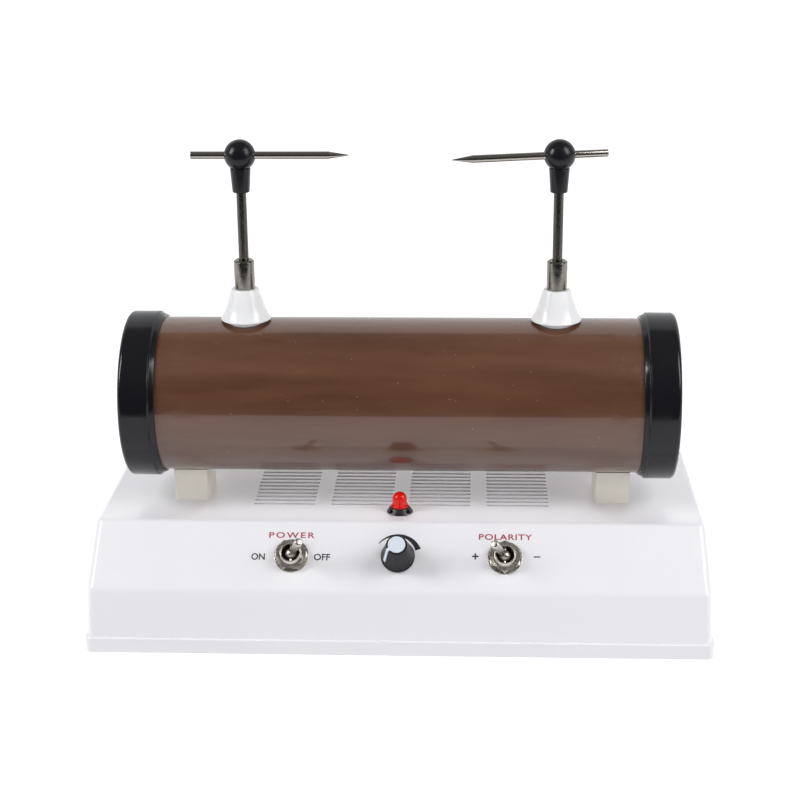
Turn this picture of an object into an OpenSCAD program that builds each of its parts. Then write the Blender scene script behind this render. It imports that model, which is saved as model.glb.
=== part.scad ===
// Bench induction coil: a potted high-voltage coil on two saddles, over a moulded housing
// that holds its electronic interrupter. Millimetres, +Z up, +X to the viewer's right,
// front towards -Y. The origin lies on the bench, under the middle of the housing.

/* [Housing] */
// Width over the foot flange, left to right
base_w = 342.5; // [300:0.5:380]
// Depth over the foot flange, front to back
base_d = 150; // [140:1:180]
// Height from the foot of the flange to the top plate
housing_h = 65.4; // [62:0.1:80]
// Height of the lower front, up to the foot of the control panel
front_h = 36.5; // [34:0.1:40]
// How far the control panel leans back from the vertical, degrees
panel_tilt = 45; // [38:1:48]
// Lean of the moulded walls, degrees
draft = 2.7; // [0.5:0.1:4]
// Wall of the moulding
wall = 2.5; // [2:0.1:3]
// Radius of the upright corners
corner_r = 4; // [3.5:0.5:8]
// Radius along the top plate's edges
edge_r = 3.2; // [3.1:0.1:5]
// Radius of the bend between lower front and panel
bend_r = 5; // [4:0.5:8]
// Height of the flange round the foot
lip_h = 8.4; // [6:0.1:10]
// How far the flange stands out
lip_w = 1.3; // [0.8:0.1:2.5]

/* [Vents] */
// Slot width
vent_w = 2.2; // [1.5:0.1:2.8]
// Slot length
vent_len = 34.3; // [25:0.1:36]
// Distance from one slot to the next
vent_pitch = 5.24; // [4.5:0.02:5.6]
// Slots in a group, front to back
vent_rows = 16; // [10:1:16]
// Bar between two groups of slots
vent_bar = 9.4; // [6:0.1:14]
// Distance from the coil's axis forward to the first slot
vent_front = 18.8; // [16:0.1:19]

/* [Bottom] */
// Thickness of the bottom cover
cover_t = 3; // [2.5:0.1:4]
// How deep the cover lies inside the flange
cover_recess = 1.5; // [1:0.1:2]
// How far the feet stand below the flange
foot_proud = 1; // [0.6:0.1:3]
// Diameter of a foot
foot_d = 14; // [12:0.5:18]
// Distance from the flange's edge to a foot's middle
foot_inset = 20; // [19:0.5:28]
// Distance from the flange's end to the cord inlet's middle
inlet_inset = 51.25; // [45:0.25:70]

/* [Coil] */
// Outside diameter of the coil's case tube
tube_d = 86; // [78:0.5:90]
// Wall of the case tube
tube_t = 3; // [2:0.1:4]
// Height of the tube's underside above the top plate
tube_rise = 16.3; // [12:0.1:24]
// Length over the end caps
coil_len = 302.8; // [280:0.2:330]
// Wall of the end caps round the tube
cap_wall = 3.2; // [2.2:0.1:5.5]
// Length of an end cap
cap_len = 19.6; // [14:0.1:26]
// Thickness of an end cap's floor
cap_floor = 4; // [3:0.1:6]
// Length of the bevelled lip on an end cap's inner edge
cap_lip = 3.4; // [2:0.1:5]
// Rounding of an end cap's outer edge
cap_round = 2.4; // [1:0.1:4]
// Diameter of the iron core
core_d = 24; // [16:0.5:26]
// Build of the primary winding, in the radius
primary_t = 3; // [2:0.1:4]
// Wall of the tube between primary and secondary
insulation_t = 3.2; // [2.5:0.1:4]
// Gap between the secondary's dividers and the feet of the posts
winding_gap = 0.6; // [0.4:0.1:6]
// Sections of the secondary winding
section_count = 12; // [8:1:16]

/* [Saddles] */
// Width of a saddle, along the coil
saddle_w = 19; // [16:0.5:26]
// Depth of a saddle, front to back
saddle_d = 30; // [26:0.5:44]
// Gap between a saddle and the end cap beside it
cap_gap = 3.9; // [1:0.1:10]
// Diameter of the bolts that hold the saddles and the tube
saddle_bolt_d = 4; // [3:0.5:5]
// Distance between a saddle's two bolts
saddle_bolt_gap = 16; // [12:0.5:18]

/* [Discharge posts] */
// Distance of a post from the middle of the coil
post_x = 85.6; // [80:0.2:98]
// Height of an insulator above the top of the tube
insulator_h = 18.2; // [12:0.1:26]
// Radius of an insulator's top
insulator_top_r = 7.6; // [7:0.1:9]
// Radius of an insulator's rim
insulator_rim_r = 13.7; // [12:0.1:18]
// Height of an insulator's rim above the top of the tube
rim_lift = 0.9; // [0.4:0.1:2]
// Thickness of the rim
rim_bead = 0.8; // [0.5:0.1:1.5]
// Diameter of a collar
collar_d = 11.2; // [9:0.1:13]
// Height of a collar
collar_h = 16.2; // [10:0.1:22]
// Diameter of a stem
stem_d = 5.4; // [4:0.1:6]
// Height of the ball's middle above the collar
ball_rise = 57.6; // [44:0.1:80]
// Diameter of the ball
ball_d = 17; // [15:0.1:22]
// Diameter at the top of the neck under the ball
neck_top_d = 11.1; // [9.6:0.1:12]
// Diameter at the foot of the neck
neck_foot_d = 9.3; // [8:0.1:9.6]
// Distance of the neck's foot below the ball's middle
neck_drop = 20; // [16:0.1:26]
// Diameter of a needle rod
rod_d = 4.2; // [3:0.1:4.5]
// Length of a needle rod
rod_len = 85.4; // [78:0.2:100]
// Distance of the rod's tail from the ball's middle, as set
rod_tail = 26.6; // [26:0.2:30]
// Length of the ground point
point_len = 11; // [6:0.5:16]
// Angle of the right rod about its stem, tip towards the viewer
right_swivel = 13; // [0:1:20]

/* [Switches] */
// Distance of a switch from the middle of the panel
switch_x = 58; // [50:0.5:70]
// Diameter of the threaded bushing
bushing_d = 12; // [10.6:0.1:12.6]
// How far the bushing stands out of the panel
bushing_out = 6.4; // [5.6:0.1:9]
// Diameter of the bushing's open mouth
mouth_d = 9.8; // [9:0.1:10]
// Nut across its flats
nut_af = 16; // [15:0.1:18]
// Thickness of the nut
nut_t = 2.6; // [2:0.1:3]
// Diameter of the washer
washer_d = 19; // [18.5:0.1:21]
// Thickness of the washer
washer_t = 0.8; // [0.5:0.1:1.2]
// Lever length from its pivot
lever_len = 19.5; // [15:0.5:24]
// Diameter of the lever's tip
lever_tip_d = 4.6; // [4:0.1:6]
// Throw of the lever to each side, degrees
lever_throw = 18; // [10:1:18]
// Length of the switch body behind the panel
switch_deep = 17; // [14:0.5:18]

/* [Knob and lamp] */
// Diameter of the knob's skirt
knob_d = 18.5; // [17.5:0.1:24]
// Height of the knob
knob_h = 19.1; // [16:0.1:19.1]
// Diameter of the knob's top
knob_top_d = 11.4; // [10.6:0.1:14]
// Diameter of the pale disc in the knob's top
disc_d = 9.3; // [8:0.1:9.6]
// Flutes round the knob
flute_count = 36; // [12:1:40]
// Where the knob's pointer stands at its stop, degrees round from the right
pointer_angle = 213; // [200:1:240]
// Full turn of the knob, degrees
knob_turn = 270; // [240:5:300]
// Diameter of the lamp
lamp_d = 8; // [6:0.1:8.6]
// Height of the lamp's dome above its collar
lamp_h = 8.6; // [7:0.1:12]
// Distance of the lamp forward of the coil's axis
lamp_front = 28.6; // [28:0.1:30]

/* [Electronics] */
// Width of the circuit board
board_w = 150; // [120:1:160]
// Depth of the circuit board
board_d = 66; // [56:1:70]
// Height of the circuit board's spacers
spacer_h = 8; // [6:0.5:12]
// Thickness of the circuit board
board_t = 1.6; // [1.2:0.1:2]
// Height of the heat sink
sink_h = 30; // [20:1:32]
// Fins on the heat sink
fin_count = 7; // [5:1:9]
// Width of the transformer's core
core_w = 48; // [40:1:52]
// Height of the transformer's core
transformer_h = 40; // [32:1:42]

/* [Fits] */
// Gap between a moving shaft and its bore, on the radius
run_gap = 0.05; // [0.02:0.01:0.1]
// Gap between parts that are put together and stay
fit_gap = 0.1; // [0.05:0.05:0.2]

/* [Hidden] */
$fn = 64;
fine = 96;
eps = 0.01;

// Levels above the bench
rim_z = foot_proud;
top_z = rim_z + housing_h;
cover_z = rim_z + cover_recess;
floor_z = cover_z + cover_t;
tube_r = tube_d / 2;
axis_z = top_z + tube_rise + tube_r;
tube_top = axis_z + tube_r;
insulator_top = tube_top + insulator_h;
collar_top = insulator_top + collar_h;
ball_z = collar_top + ball_rise;
board_z = floor_z + spacer_h;

// Half width of the moulded walls at a height above the flange's foot, and their depth
function half_w(h) = base_w / 2 - lip_w - (h - lip_h) * tan(draft);
function half_d(h) = base_d / 2 - lip_w - (h - lip_h) * tan(draft);
// The line where lower front and panel would meet, and the middle of the bend's arc
break_y = -half_d(front_h);
bend_k = 1 + cos(panel_tilt - draft);
function bend_in(d) = [break_y + d * (cos(draft) + cos(panel_tilt)) / bend_k,
                       front_h - d * (sin(draft) + sin(panel_tilt)) / bend_k];
// Place of the top front edge, and the panel's length up its slope
panel_top_y = break_y + (housing_h - front_h) * tan(panel_tilt);
panel_len = (housing_h - front_h) / cos(panel_tilt);

// A thin level disc at an upright corner, used to blend walls into each other
module corner_disc(x, y, z, r) {
  translate([x, y, z]) cylinder(r = r, h = eps, $fn = 32);
}

// The housing's smooth outer body, or with an inset the hollow inside it
module blended_body(inset, foot, top) {
  r = corner_r - inset;
  er = edge_r - inset;
  arc = bend_in(bend_r);
  steps = 4;
  zt = top - er;
  hull() for (sx = [-1, 1]) {
    corner_disc(sx * (half_w(foot) - inset - r), -(half_d(foot) - inset - r), foot, r);
    corner_disc(sx * (half_w(foot) - inset - r), half_d(foot) - inset - r, foot, r);
    for (i = [0 : steps]) {
      a = draft + (panel_tilt - draft) * i / steps;
      y = arc[0] - (bend_r - inset) * cos(a);
      z = arc[1] + (bend_r - inset) * sin(a);
      corner_disc(sx * (half_w(z) - inset - r), y + r, z, r);
    }
    front_top = break_y + inset / cos(panel_tilt) + (zt - front_h) * tan(panel_tilt);
    translate([sx * (half_w(zt) - inset - er), front_top + er / cos(panel_tilt), zt])
      sphere(r = er, $fn = 32);
    translate([sx * (half_w(zt) - inset - er), half_d(zt) - inset - er, zt])
      sphere(r = er, $fn = 32);
  }
}

// A rounded rectangle of the given full size
module plate_outline(w, d, r) {
  translate([-w / 2 + r, -d / 2]) square([w - 2 * r, d]);
  translate([-w / 2, -d / 2 + r]) square([w, d - 2 * r]);
  for (sx = [-1, 1], sy = [-1, 1])
    translate([sx * (w / 2 - r), sy * (d / 2 - r)]) circle(r = r);
}

// Puts its children on the control panel: x from the middle, up the slope from its lower
// edge, with their own Z standing out of the panel
module on_panel(x, up) {
  translate([x, break_y + up * sin(panel_tilt), rim_z + front_h + up * cos(panel_tilt)])
    rotate([90 - panel_tilt, 0, 0]) children();
}

// Mirrors its children to the left side
module on_side(side) {
  if (side < 0) mirror([1, 0, 0]) children();
  else children();
}

// A hexagonal nut with chamfered corners, flats up and down, bored through
module hex_nut(af, t, bore, turn) {
  corner = af / cos(30) / 2;
  difference() {
    intersection() {
      rotate(turn) cylinder(r = corner, h = t, $fn = 6);
      union() {
        cylinder(r = corner + 1, h = t - 0.7);
        translate([0, 0, t - 0.7])
          cylinder(r1 = corner + 0.1, r2 = corner - 1.1, h = 0.7);
      }
    }
    translate([0, 0, -1]) cylinder(d = bore, h = t + 2);
  }
}

// A screw with a round head at z = 0 and its shank upwards
module screw_up(d, head_d, head_h, len) {
  cylinder(d = d, h = len, $fn = 32);
  difference() {
    translate([0, 0, -head_h]) cylinder(d1 = head_d * 0.8, d2 = head_d, h = head_h, $fn = 32);
    translate([-head_d * 0.3, -0.4, -head_h - 1]) cube([head_d * 0.6, 0.8, 1 + head_h * 0.4]);
    translate([-0.4, -head_d * 0.3, -head_h - 1]) cube([0.8, head_d * 0.6, 1 + head_h * 0.4]);
  }
}

// ---------------------------------------------------------------- housing and bottom

pillar_d = 8;
pilot_d = 2.4;
cover_screw_d = 3;
cover_screw_len = 12;
cover_head_d = 5.6;
pillar_x = base_w / 2 - 14;
pillar_y = base_d / 2 - 14;
pillar_mid_x = 28;
pillar_spots = [for (x = [-pillar_x, pillar_mid_x, pillar_x], sy = [-1, 1]) [x, sy * pillar_y]];
vent_x = [for (i = [-1.5, -0.5, 0.5, 1.5]) i * (vent_len + vent_bar)];
pot_bushing_d = 7;
lamp_hole_d = lamp_d + 2.4;
grommet_hole_d = 9;
grommet_x = base_w / 2 - inlet_inset;
grommet_h = 22;
saddle_x = coil_len / 2 - cap_len - cap_gap - saddle_w / 2;
saddle_bolt_y = [-saddle_bolt_gap / 2, saddle_bolt_gap / 2];
panel_mid = panel_len / 2;

module base_housing() color("#e9e8eb") difference() {
  union() {
    difference() {
      translate([0, 0, rim_z]) union() {
        blended_body(0, 0, housing_h);
        linear_extrude(lip_h) plate_outline(base_w, base_d, corner_r);
      }
      translate([0, 0, rim_z]) blended_body(wall, -1, housing_h - wall);
    }
    intersection() {
      translate([0, 0, rim_z]) blended_body(wall / 2, 0, housing_h - wall / 2);
      for (p = pillar_spots) translate([p[0], p[1], floor_z])
        cylinder(d = pillar_d, h = housing_h);
    }
  }
  for (p = pillar_spots) translate([p[0], p[1], floor_z - 1]) cylinder(d = pilot_d, h = cover_screw_len + 1);
  for (x = vent_x, i = [0 : vent_rows - 1])
    translate([x - vent_len / 2, i * vent_pitch - vent_front - vent_w / 2, top_z - wall - 1])
      cube([vent_len, vent_w, wall + 2]);
  for (sx = [-1, 1], y = saddle_bolt_y) translate([sx * saddle_x, y, top_z - wall - 1])
    cylinder(d = saddle_bolt_d + 4 * fit_gap, h = wall + 2);
  for (sx = [-1, 1]) on_panel(sx * switch_x, panel_mid) translate([0, 0, -wall - 1])
    cylinder(d = bushing_d + 2 * fit_gap, h = wall + 2);
  on_panel(0, panel_mid) translate([0, 0, -wall - 1])
    cylinder(d = pot_bushing_d + 2 * fit_gap, h = wall + 2);
  translate([0, -lamp_front, top_z - wall - 1]) cylinder(d = lamp_hole_d, h = wall + 2);
  translate([grommet_x, base_d / 2 - 8, rim_z + grommet_h]) rotate([-90, 0, 0])
    cylinder(d = grommet_hole_d, h = 10);
}

cover_w = 2 * (half_w(cover_recess + cover_t) - wall - fit_gap);
cover_d = 2 * (half_d(cover_recess + cover_t) - wall - fit_gap);
foot_spots = [for (sx = [-1, 1], sy = [-1, 1])
              [sx * (base_w / 2 - foot_inset - 12), sy * (base_d / 2 - foot_inset)]];
foot_boss_h = 4;
foot_screw_d = 3;
foot_screw_len = 7.5;
foot_head_d = 6;
board_x = -38;
board_y = 22;
board_spots = [for (sx = [-1, 1], sy = [-1, 1])
               [board_x + sx * (board_w / 2 - 6), board_y + sy * (board_d / 2 - 6)]];
board_screw_d = 3;

module bottom_cover() color("#d9d8db") difference() {
  union() {
    translate([0, 0, cover_z]) linear_extrude(cover_t)
      plate_outline(cover_w, cover_d, corner_r - wall + 1);
    for (p = foot_spots) translate([p[0], p[1], floor_z - eps]) cylinder(d = 8, h = foot_boss_h);
  }
  for (p = pillar_spots) translate([p[0], p[1], cover_z - 1]) {
    cylinder(d = cover_screw_d + 0.4, h = cover_t + 2);
    cylinder(d = 6.4, h = 2.2);
  }
  for (p = foot_spots) translate([p[0], p[1], cover_z - 1])
    cylinder(d = foot_screw_d, h = cover_t + foot_boss_h + 0.5);
  for (p = board_spots) translate([p[0], p[1], cover_z - 1])
    cylinder(d = board_screw_d + 0.4, h = cover_t + 2);
  for (sx = [-1, 1], i = [-3 : 3]) translate([sx * 60 + i * 8 - 1.5, -26, cover_z - 1])
    cube([3, 16, cover_t + 2]);
}

module cover_screws() color("#b9bbbd") for (p = pillar_spots)
  translate([p[0], p[1], cover_z + 1.2]) screw_up(pilot_d, cover_head_d, 1.1, cover_screw_len);

foot_t = foot_proud + cover_recess;
foot_sink = 1.3;
module rubber_feet() color("#26262a") for (p = foot_spots) translate([p[0], p[1], 0])
  difference() {
    rotate_extrude() polygon([[0, 0], [foot_d / 2 - 0.8, 0], [foot_d / 2, 0.8],
                              [foot_d / 2, foot_t], [0, foot_t]]);
    translate([0, 0, -1]) cylinder(d = foot_screw_d + 0.4, h = foot_t + 2);
    translate([0, 0, -1]) cylinder(d = 6.6, h = 1 + foot_sink);
  }

module foot_screws() color("#b9bbbd") for (p = foot_spots)
  translate([p[0], p[1], foot_sink]) screw_up(foot_screw_d - 2 * fit_gap, foot_head_d, 1, foot_screw_len);

module cable_grommet() color("#232326")
  translate([grommet_x, half_d(grommet_h), rim_z + grommet_h]) rotate([-90 + draft, 0, 0])
    rotate_extrude() polygon([[3.4, -wall - 1.8], [5.4, -wall - 1.8], [6, -wall - 1.4],
      [6, -wall - fit_gap], [grommet_hole_d / 2 - fit_gap, -wall - fit_gap],
      [grommet_hole_d / 2 - fit_gap, fit_gap], [6.2, fit_gap], [6.2, 0.9], [5.2, 1.5],
      [3.4, 1.5]]);

// ---------------------------------------------------------------- coil

seat_r = tube_r + fit_gap;
seat_flat = 0.8;
saddle_top = axis_z - sqrt(pow(seat_r, 2) - pow(saddle_d / 2 - seat_flat, 2));
module saddle(side) color("#e2ddd1") translate([side * saddle_x, 0, 0]) difference() {
  translate([0, 0, top_z]) linear_extrude(saddle_top - top_z)
    plate_outline(saddle_w, saddle_d, 1.2);
  translate([-saddle_w, 0, axis_z]) rotate([0, 90, 0])
    cylinder(r = seat_r, h = 2 * saddle_w, $fn = fine);
  for (y = saddle_bolt_y) translate([0, y, top_z - 1])
    cylinder(d = saddle_bolt_d + 2 * fit_gap, h = tube_rise + 20);
}

bolt_grip = 3.2;
module saddle_bolts() color("#b9bbbd") for (sx = [-1, 1], y = saddle_bolt_y) {
  bolt_top = axis_z - sqrt(pow(tube_r - tube_t, 2) - pow(y, 2)) - 0.6;
  translate([sx * saddle_x, y, top_z - wall - fit_gap - 1]) {
    cylinder(d = saddle_bolt_d * 2.4, h = 1);
    translate([0, 0, -bolt_grip]) cylinder(d = saddle_bolt_d * 1.8, h = bolt_grip, $fn = 6);
    cylinder(d = saddle_bolt_d, h = bolt_top - top_z + wall + 1);
  }
}

tube_half = coil_len / 2 - cap_floor - fit_gap;
post_hole_d = stem_d + 2 * fit_gap;
module along_coil(from_x, to_x) translate([from_x, 0, axis_z]) rotate([0, 90, 0])
  linear_extrude(to_x - from_x) children();

module ring(outer, inner) difference() {
  circle(r = outer, $fn = fine);
  circle(r = inner, $fn = fine);
}

module coil_tube() color("#653f2a") difference() {
  along_coil(-tube_half, tube_half) ring(tube_r, tube_r - tube_t);
  for (sx = [-1, 1]) translate([sx * post_x, 0, axis_z]) cylinder(d = post_hole_d, h = tube_d);
  for (sx = [-1, 1], y = saddle_bolt_y) translate([sx * saddle_x, y, top_z])
    cylinder(d = saddle_bolt_d + 2 * fit_gap, h = tube_d / 2);
}

cap_r = tube_r + cap_wall;
lip_r = tube_r + fit_gap;
lip_face = 1.1;
module end_cap(side) color("#1c1b20") on_side(side)
  translate([coil_len / 2, 0, axis_z]) rotate([0, -90, 0]) rotate_extrude($fn = fine) {
    difference() {
      polygon(concat([[0, 0]],
        [for (i = [0 : 6]) let (a = 90 * i / 6)
          [cap_r - cap_round + cap_round * sin(a), cap_round - cap_round * cos(a)]],
        [[cap_r, cap_len - cap_lip], [cap_r - 0.9, cap_len - cap_lip + 0.9],
         [lip_r + lip_face, cap_len], [lip_r, cap_len], [lip_r, cap_floor], [0, cap_floor]]));
      translate([0, -1]) square([8, 2]);
    }
  }

core_half = coil_len / 2 - cap_floor - 8;
core_wire = core_d / 5 - 0.02;
bobbin_r = core_d / 2 + 1.6;
primary_r = bobbin_r + primary_t;
insulation_r = primary_r + 0.4 + insulation_t;
bobbin_t = 1.6;
divider_rim = 1;
stem_reach = 4.6;
secondary_r = tube_r - tube_t - stem_reach - winding_gap - divider_rim;
flange_r = tube_r - tube_t - 2 * fit_gap;
winding_half = core_half - 10;

// The core is a bundle of soft iron rods, laid in a hexagon
module iron_core() color("#5a5c60") {
  for (q = [-2 : 2], r = [-2 : 2]) if (abs(q + r) <= 2)
    translate([0, (q + r / 2) * core_wire, r * core_wire * sin(60)])
      along_coil(-core_half, core_half) circle(d = core_wire - 0.06, $fn = 24);
}

module primary_winding() color("#b5652f")
  along_coil(-winding_half, winding_half) ring(primary_r, core_d / 2 + fit_gap);

module insulating_tube() color("#8a6a3a")
  along_coil(-core_half, core_half) ring(insulation_r, primary_r + 0.4);

section_pitch = 2 * winding_half / section_count;
divider_t = 2;
module secondary_bobbin() color("#d8d2c0") {
  difference() {
    union() {
      along_coil(-winding_half, winding_half) circle(r = insulation_r + bobbin_t, $fn = fine);
      for (i = [0 : section_count]) translate([-winding_half + i * section_pitch, 0, 0])
        along_coil(-divider_t / 2, divider_t / 2)
          circle(r = (i == 0 || i == section_count) ? flange_r : secondary_r + divider_rim, $fn = fine);
    }
    along_coil(-coil_len, coil_len) circle(r = insulation_r + fit_gap, $fn = fine);
  }
}

module secondary_winding() color("#a8552a") for (i = [0 : section_count - 1])
  translate([-winding_half + i * section_pitch, 0, 0])
    along_coil(divider_t / 2 + fit_gap, section_pitch - divider_t / 2 - fit_gap)
      ring(secondary_r, insulation_r + bobbin_t + fit_gap);

// ---------------------------------------------------------------- discharge posts

// The cone's flat foot stands off the tube; a narrower hub below it sits on the tube's round
rim_top = tube_top + rim_lift + rim_bead;
hub_r = insulator_rim_r - 3;
hub_foot = axis_z + tube_r / 2;
module insulator(side) color("#efeef0") translate([side * post_x, 0, 0]) difference() {
  rotate_extrude($fn = fine) polygon(concat(
    [[post_hole_d / 2, hub_foot], [post_hole_d / 2, insulator_top],
     [insulator_top_r - 0.8, insulator_top], [insulator_top_r, insulator_top - 0.5]],
    [for (i = [0 : 8]) let (a = 15 + 52 * i / 8)
      let (run = insulator_rim_r - insulator_top_r - 0.8, k = (tan(a) - tan(15)) / (tan(67) - tan(15)))
      [insulator_top_r + 0.8 + run * (0.5 * i / 8 + 0.5 * k),
       insulator_top - 1.6 + (rim_top - insulator_top + 1.6) * (i / 8)]],
    [[insulator_rim_r + 0.2, rim_top - 0.3], [insulator_rim_r + 0.2, rim_top - rim_bead],
     [hub_r, rim_top - rim_bead], [hub_r, hub_foot]]));
  translate([0, 0, axis_z]) rotate([0, 90, 0])
    cylinder(r = tube_r + fit_gap, h = 4 * insulator_rim_r, center = true, $fn = fine);
}

module collar(side) color("#c9c7c2") translate([side * post_x, 0, insulator_top])
  rotate_extrude() polygon([[stem_d / 2 + fit_gap, 0], [collar_d / 2 - 0.5, 0],
    [collar_d / 2, 0.5], [collar_d / 2, collar_h - 0.8], [collar_d / 2 - 0.8, collar_h],
    [stem_d / 2 + fit_gap, collar_h]]);

stem_top = ball_z - rod_d / 2 - 1.4;
stem_foot = tube_top - tube_t - stem_reach;
socket_top = stem_top + 0.6;
stem_neck_d = stem_d - 0.8;
module stem(side) color("#c9c7c2") translate([side * post_x, 0, stem_foot]) {
  cylinder(d = stem_d, h = ball_z - neck_drop - stem_foot - 0.4);
  cylinder(d = stem_neck_d, h = stem_top - stem_foot);
}

stem_nut_r = 4.6;
stem_nut_h = 3;
stem_washer_t = 0.6;
module stem_nuts() color("#c9c7c2") for (sx = [-1, 1])
  translate([sx * post_x, 0, tube_top - tube_t - stem_nut_h - stem_washer_t - 0.4]) difference() {
    union() {
      cylinder(r = stem_nut_r, h = stem_nut_h, $fn = 6);
      translate([0, 0, stem_nut_h]) cylinder(r = stem_nut_r - 0.2, h = stem_washer_t);
    }
    translate([0, 0, -1]) cylinder(d = stem_d + fit_gap, h = stem_nut_h + stem_washer_t + 2);
  }

module swivelled(side) translate([side * post_x, 0, ball_z])
  rotate(side > 0 ? right_swivel : 0) children();

module ball_head(side) color("#1e1f26") swivelled(side) difference() {
  rotate_extrude($fn = fine) intersection() {
    union() {
      circle(d = ball_d, $fn = fine);
      polygon([[0, -neck_drop], [neck_foot_d / 2 - 0.5, -neck_drop],
               [neck_foot_d / 2, -neck_drop + 0.5], [neck_top_d / 2, -ball_d / 2 + 1.4],
               [neck_top_d / 2 - 0.8, -ball_d / 2 + 2.2], [0, -ball_d / 2 + 2.2]]);
    }
    translate([0, -2 * neck_drop]) square([ball_d, 4 * neck_drop]);
  }
  translate([0, 0, -neck_drop - 1])
    cylinder(d = stem_neck_d + 2 * run_gap, h = 1 + neck_drop + socket_top - ball_z);
  rotate([0, 90, 0]) cylinder(d = rod_d + 2 * run_gap, h = 2 * ball_d, center = true);
}

module needle_rod(side) color("#bdbbb6") swivelled(side) on_side(-side)
  translate([-rod_tail, 0, 0]) rotate([0, 90, 0]) rotate_extrude()
    polygon([[0, 0], [rod_d / 2 - 0.3, 0], [rod_d / 2, 0.3], [rod_d / 2, rod_len - point_len],
             [0.25, rod_len - 0.2], [0, rod_len]]);

// ---------------------------------------------------------------- switches

switch_body_w = 28;
switch_body_d = 14;
pin_h = bushing_out - 3.2;
pin_d = 1.6;
lever_ball_d = 6.4;
module switch_body(side) color("#3a3a3e") on_panel(side * switch_x, panel_mid) difference() {
  union() {
    translate([0, 0, -wall - 3.2]) cylinder(d = bushing_d, h = wall + 3.2 + bushing_out - 0.4);
    translate([0, 0, bushing_out - 0.4]) cylinder(d1 = bushing_d, d2 = bushing_d - 0.8, h = 0.4);
    translate([-switch_body_w / 2, -switch_body_d / 2, -wall - switch_deep])
      cube([switch_body_w, switch_body_d, switch_deep - fit_gap]);
    for (x = [-8, 0, 8], y = [-3.5, 3.5])
      translate([x - 1.2, y - 0.4, -wall - switch_deep - 5]) cube([2.4, 0.8, 6]);
  }
  translate([0, 0, -wall - 3]) cylinder(d = mouth_d, h = wall + 4 + bushing_out);
  translate([0, 0, pin_h]) rotate([90, 0, 0])
    cylinder(d = pin_d + 2 * fit_gap, h = bushing_d + 2, center = true);
}

module switch_washers() color("#c2bfb9") for (sx = [-1, 1])
  on_panel(sx * switch_x, panel_mid) translate([0, 0, fit_gap]) linear_extrude(washer_t - fit_gap)
    difference() {
      circle(d = washer_d);
      circle(d = bushing_d + 2 * fit_gap);
    }

module switch_nuts() color("#c2bfb9") for (sx = [-1, 1])
  on_panel(sx * switch_x, panel_mid) translate([0, 0, washer_t])
    hex_nut(nut_af, nut_t, bushing_d + fit_gap, sx < 0 ? 0 : 30);

// The pins run up and down the panel, across each bushing's mouth, and carry the levers
module lever_pins() color("#c2bfb9") for (sx = [-1, 1])
  on_panel(sx * switch_x, panel_mid) translate([0, 0, pin_h]) rotate([90, 0, 0])
    cylinder(d = pin_d, h = bushing_d - 0.6, center = true);

module lever(side) color("#d0cdc8") on_panel(side * switch_x, panel_mid)
  translate([0, 0, pin_h]) rotate([0, side * -lever_throw, 0]) difference() {
    union() {
      sphere(d = lever_ball_d);
      translate([0, 0, -4.2]) cylinder(r = 1.2, h = 3);
      rotate_extrude() polygon([[0, 2], [1.4, 2], [lever_tip_d / 2, lever_len - 0.5],
                                [lever_tip_d / 2 - 0.5, lever_len], [0, lever_len]]);
    }
    rotate([90, 0, 0]) cylinder(d = pin_d + 2 * run_gap, h = 10, center = true);
  }

// ---------------------------------------------------------------- knob

knob_lift = 0.8;
shaft_d = 6;
shaft_top = 13;
knob_hollow = 6.4;
pot_bushing_out = 5.6;
disc_t = 1;
flute_r = 0.5;
function knob_r(h) = knob_d / 2 - 0.2 + (knob_top_d / 2 - knob_d / 2 + 0.2) * (h - 2) / (knob_h - 2.8);

module knob() color("#2a2a2d") on_panel(0, panel_mid) difference() {
  rotate_extrude($fn = fine) polygon([[0, knob_lift], [knob_d / 2 - 0.3, knob_lift],
    [knob_d / 2, knob_lift + 0.3], [knob_d / 2, 1.8], [knob_r(2), 2.2],
    [knob_r(knob_h - 0.8), knob_h - 0.8], [knob_r(knob_h - 0.8) - 0.7, knob_h], [0, knob_h]]);
  translate([0, 0, knob_h - disc_t]) cylinder(d = disc_d + 2 * fit_gap, h = 2);
  for (i = [0 : flute_count - 1]) rotate(i * 360 / flute_count + 180 / flute_count)
    translate([knob_r(2.2), 0, 2.2])
      rotate([0, atan((knob_top_d - knob_d) / 2 / (knob_h - 2.8)), 0])
        translate([flute_r * 0.45, 0, 0]) cylinder(r = flute_r, h = knob_h * 0.62, $fn = 24);
  cylinder(d = knob_d - 5.5, h = knob_hollow);
  cylinder(d = shaft_d + fit_gap, h = shaft_top + 0.4);
}

// The disc carries the pointer, a low rib over the knob's rim and down its side
pointer_w = 1.7;
pointer_t = 0.3;
pointer_foot = 0.32 * knob_h;
module knob_cap() color("#dee6ee") on_panel(0, panel_mid) {
  rim_h = knob_h - 0.8;
  translate([0, 0, knob_h - disc_t]) cylinder(d = disc_d, h = disc_t + 0.25);
  rotate(pointer_angle) translate([0, pointer_w / 2, 0]) rotate([90, 0, 0])
    linear_extrude(pointer_w) polygon([
      [disc_d / 2 - 0.6, knob_h + 0.02], [knob_r(rim_h) - 0.7, knob_h + 0.02],
      [knob_r(rim_h) + 0.02, rim_h], [knob_r(pointer_foot) + 0.02, pointer_foot],
      [knob_r(pointer_foot) + pointer_t, pointer_foot + 0.1],
      [knob_r(rim_h) + pointer_t, rim_h + 0.2],
      [knob_r(rim_h) - 0.5, knob_h + pointer_t], [disc_d / 2 - 0.6, knob_h + pointer_t]]);
}

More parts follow.
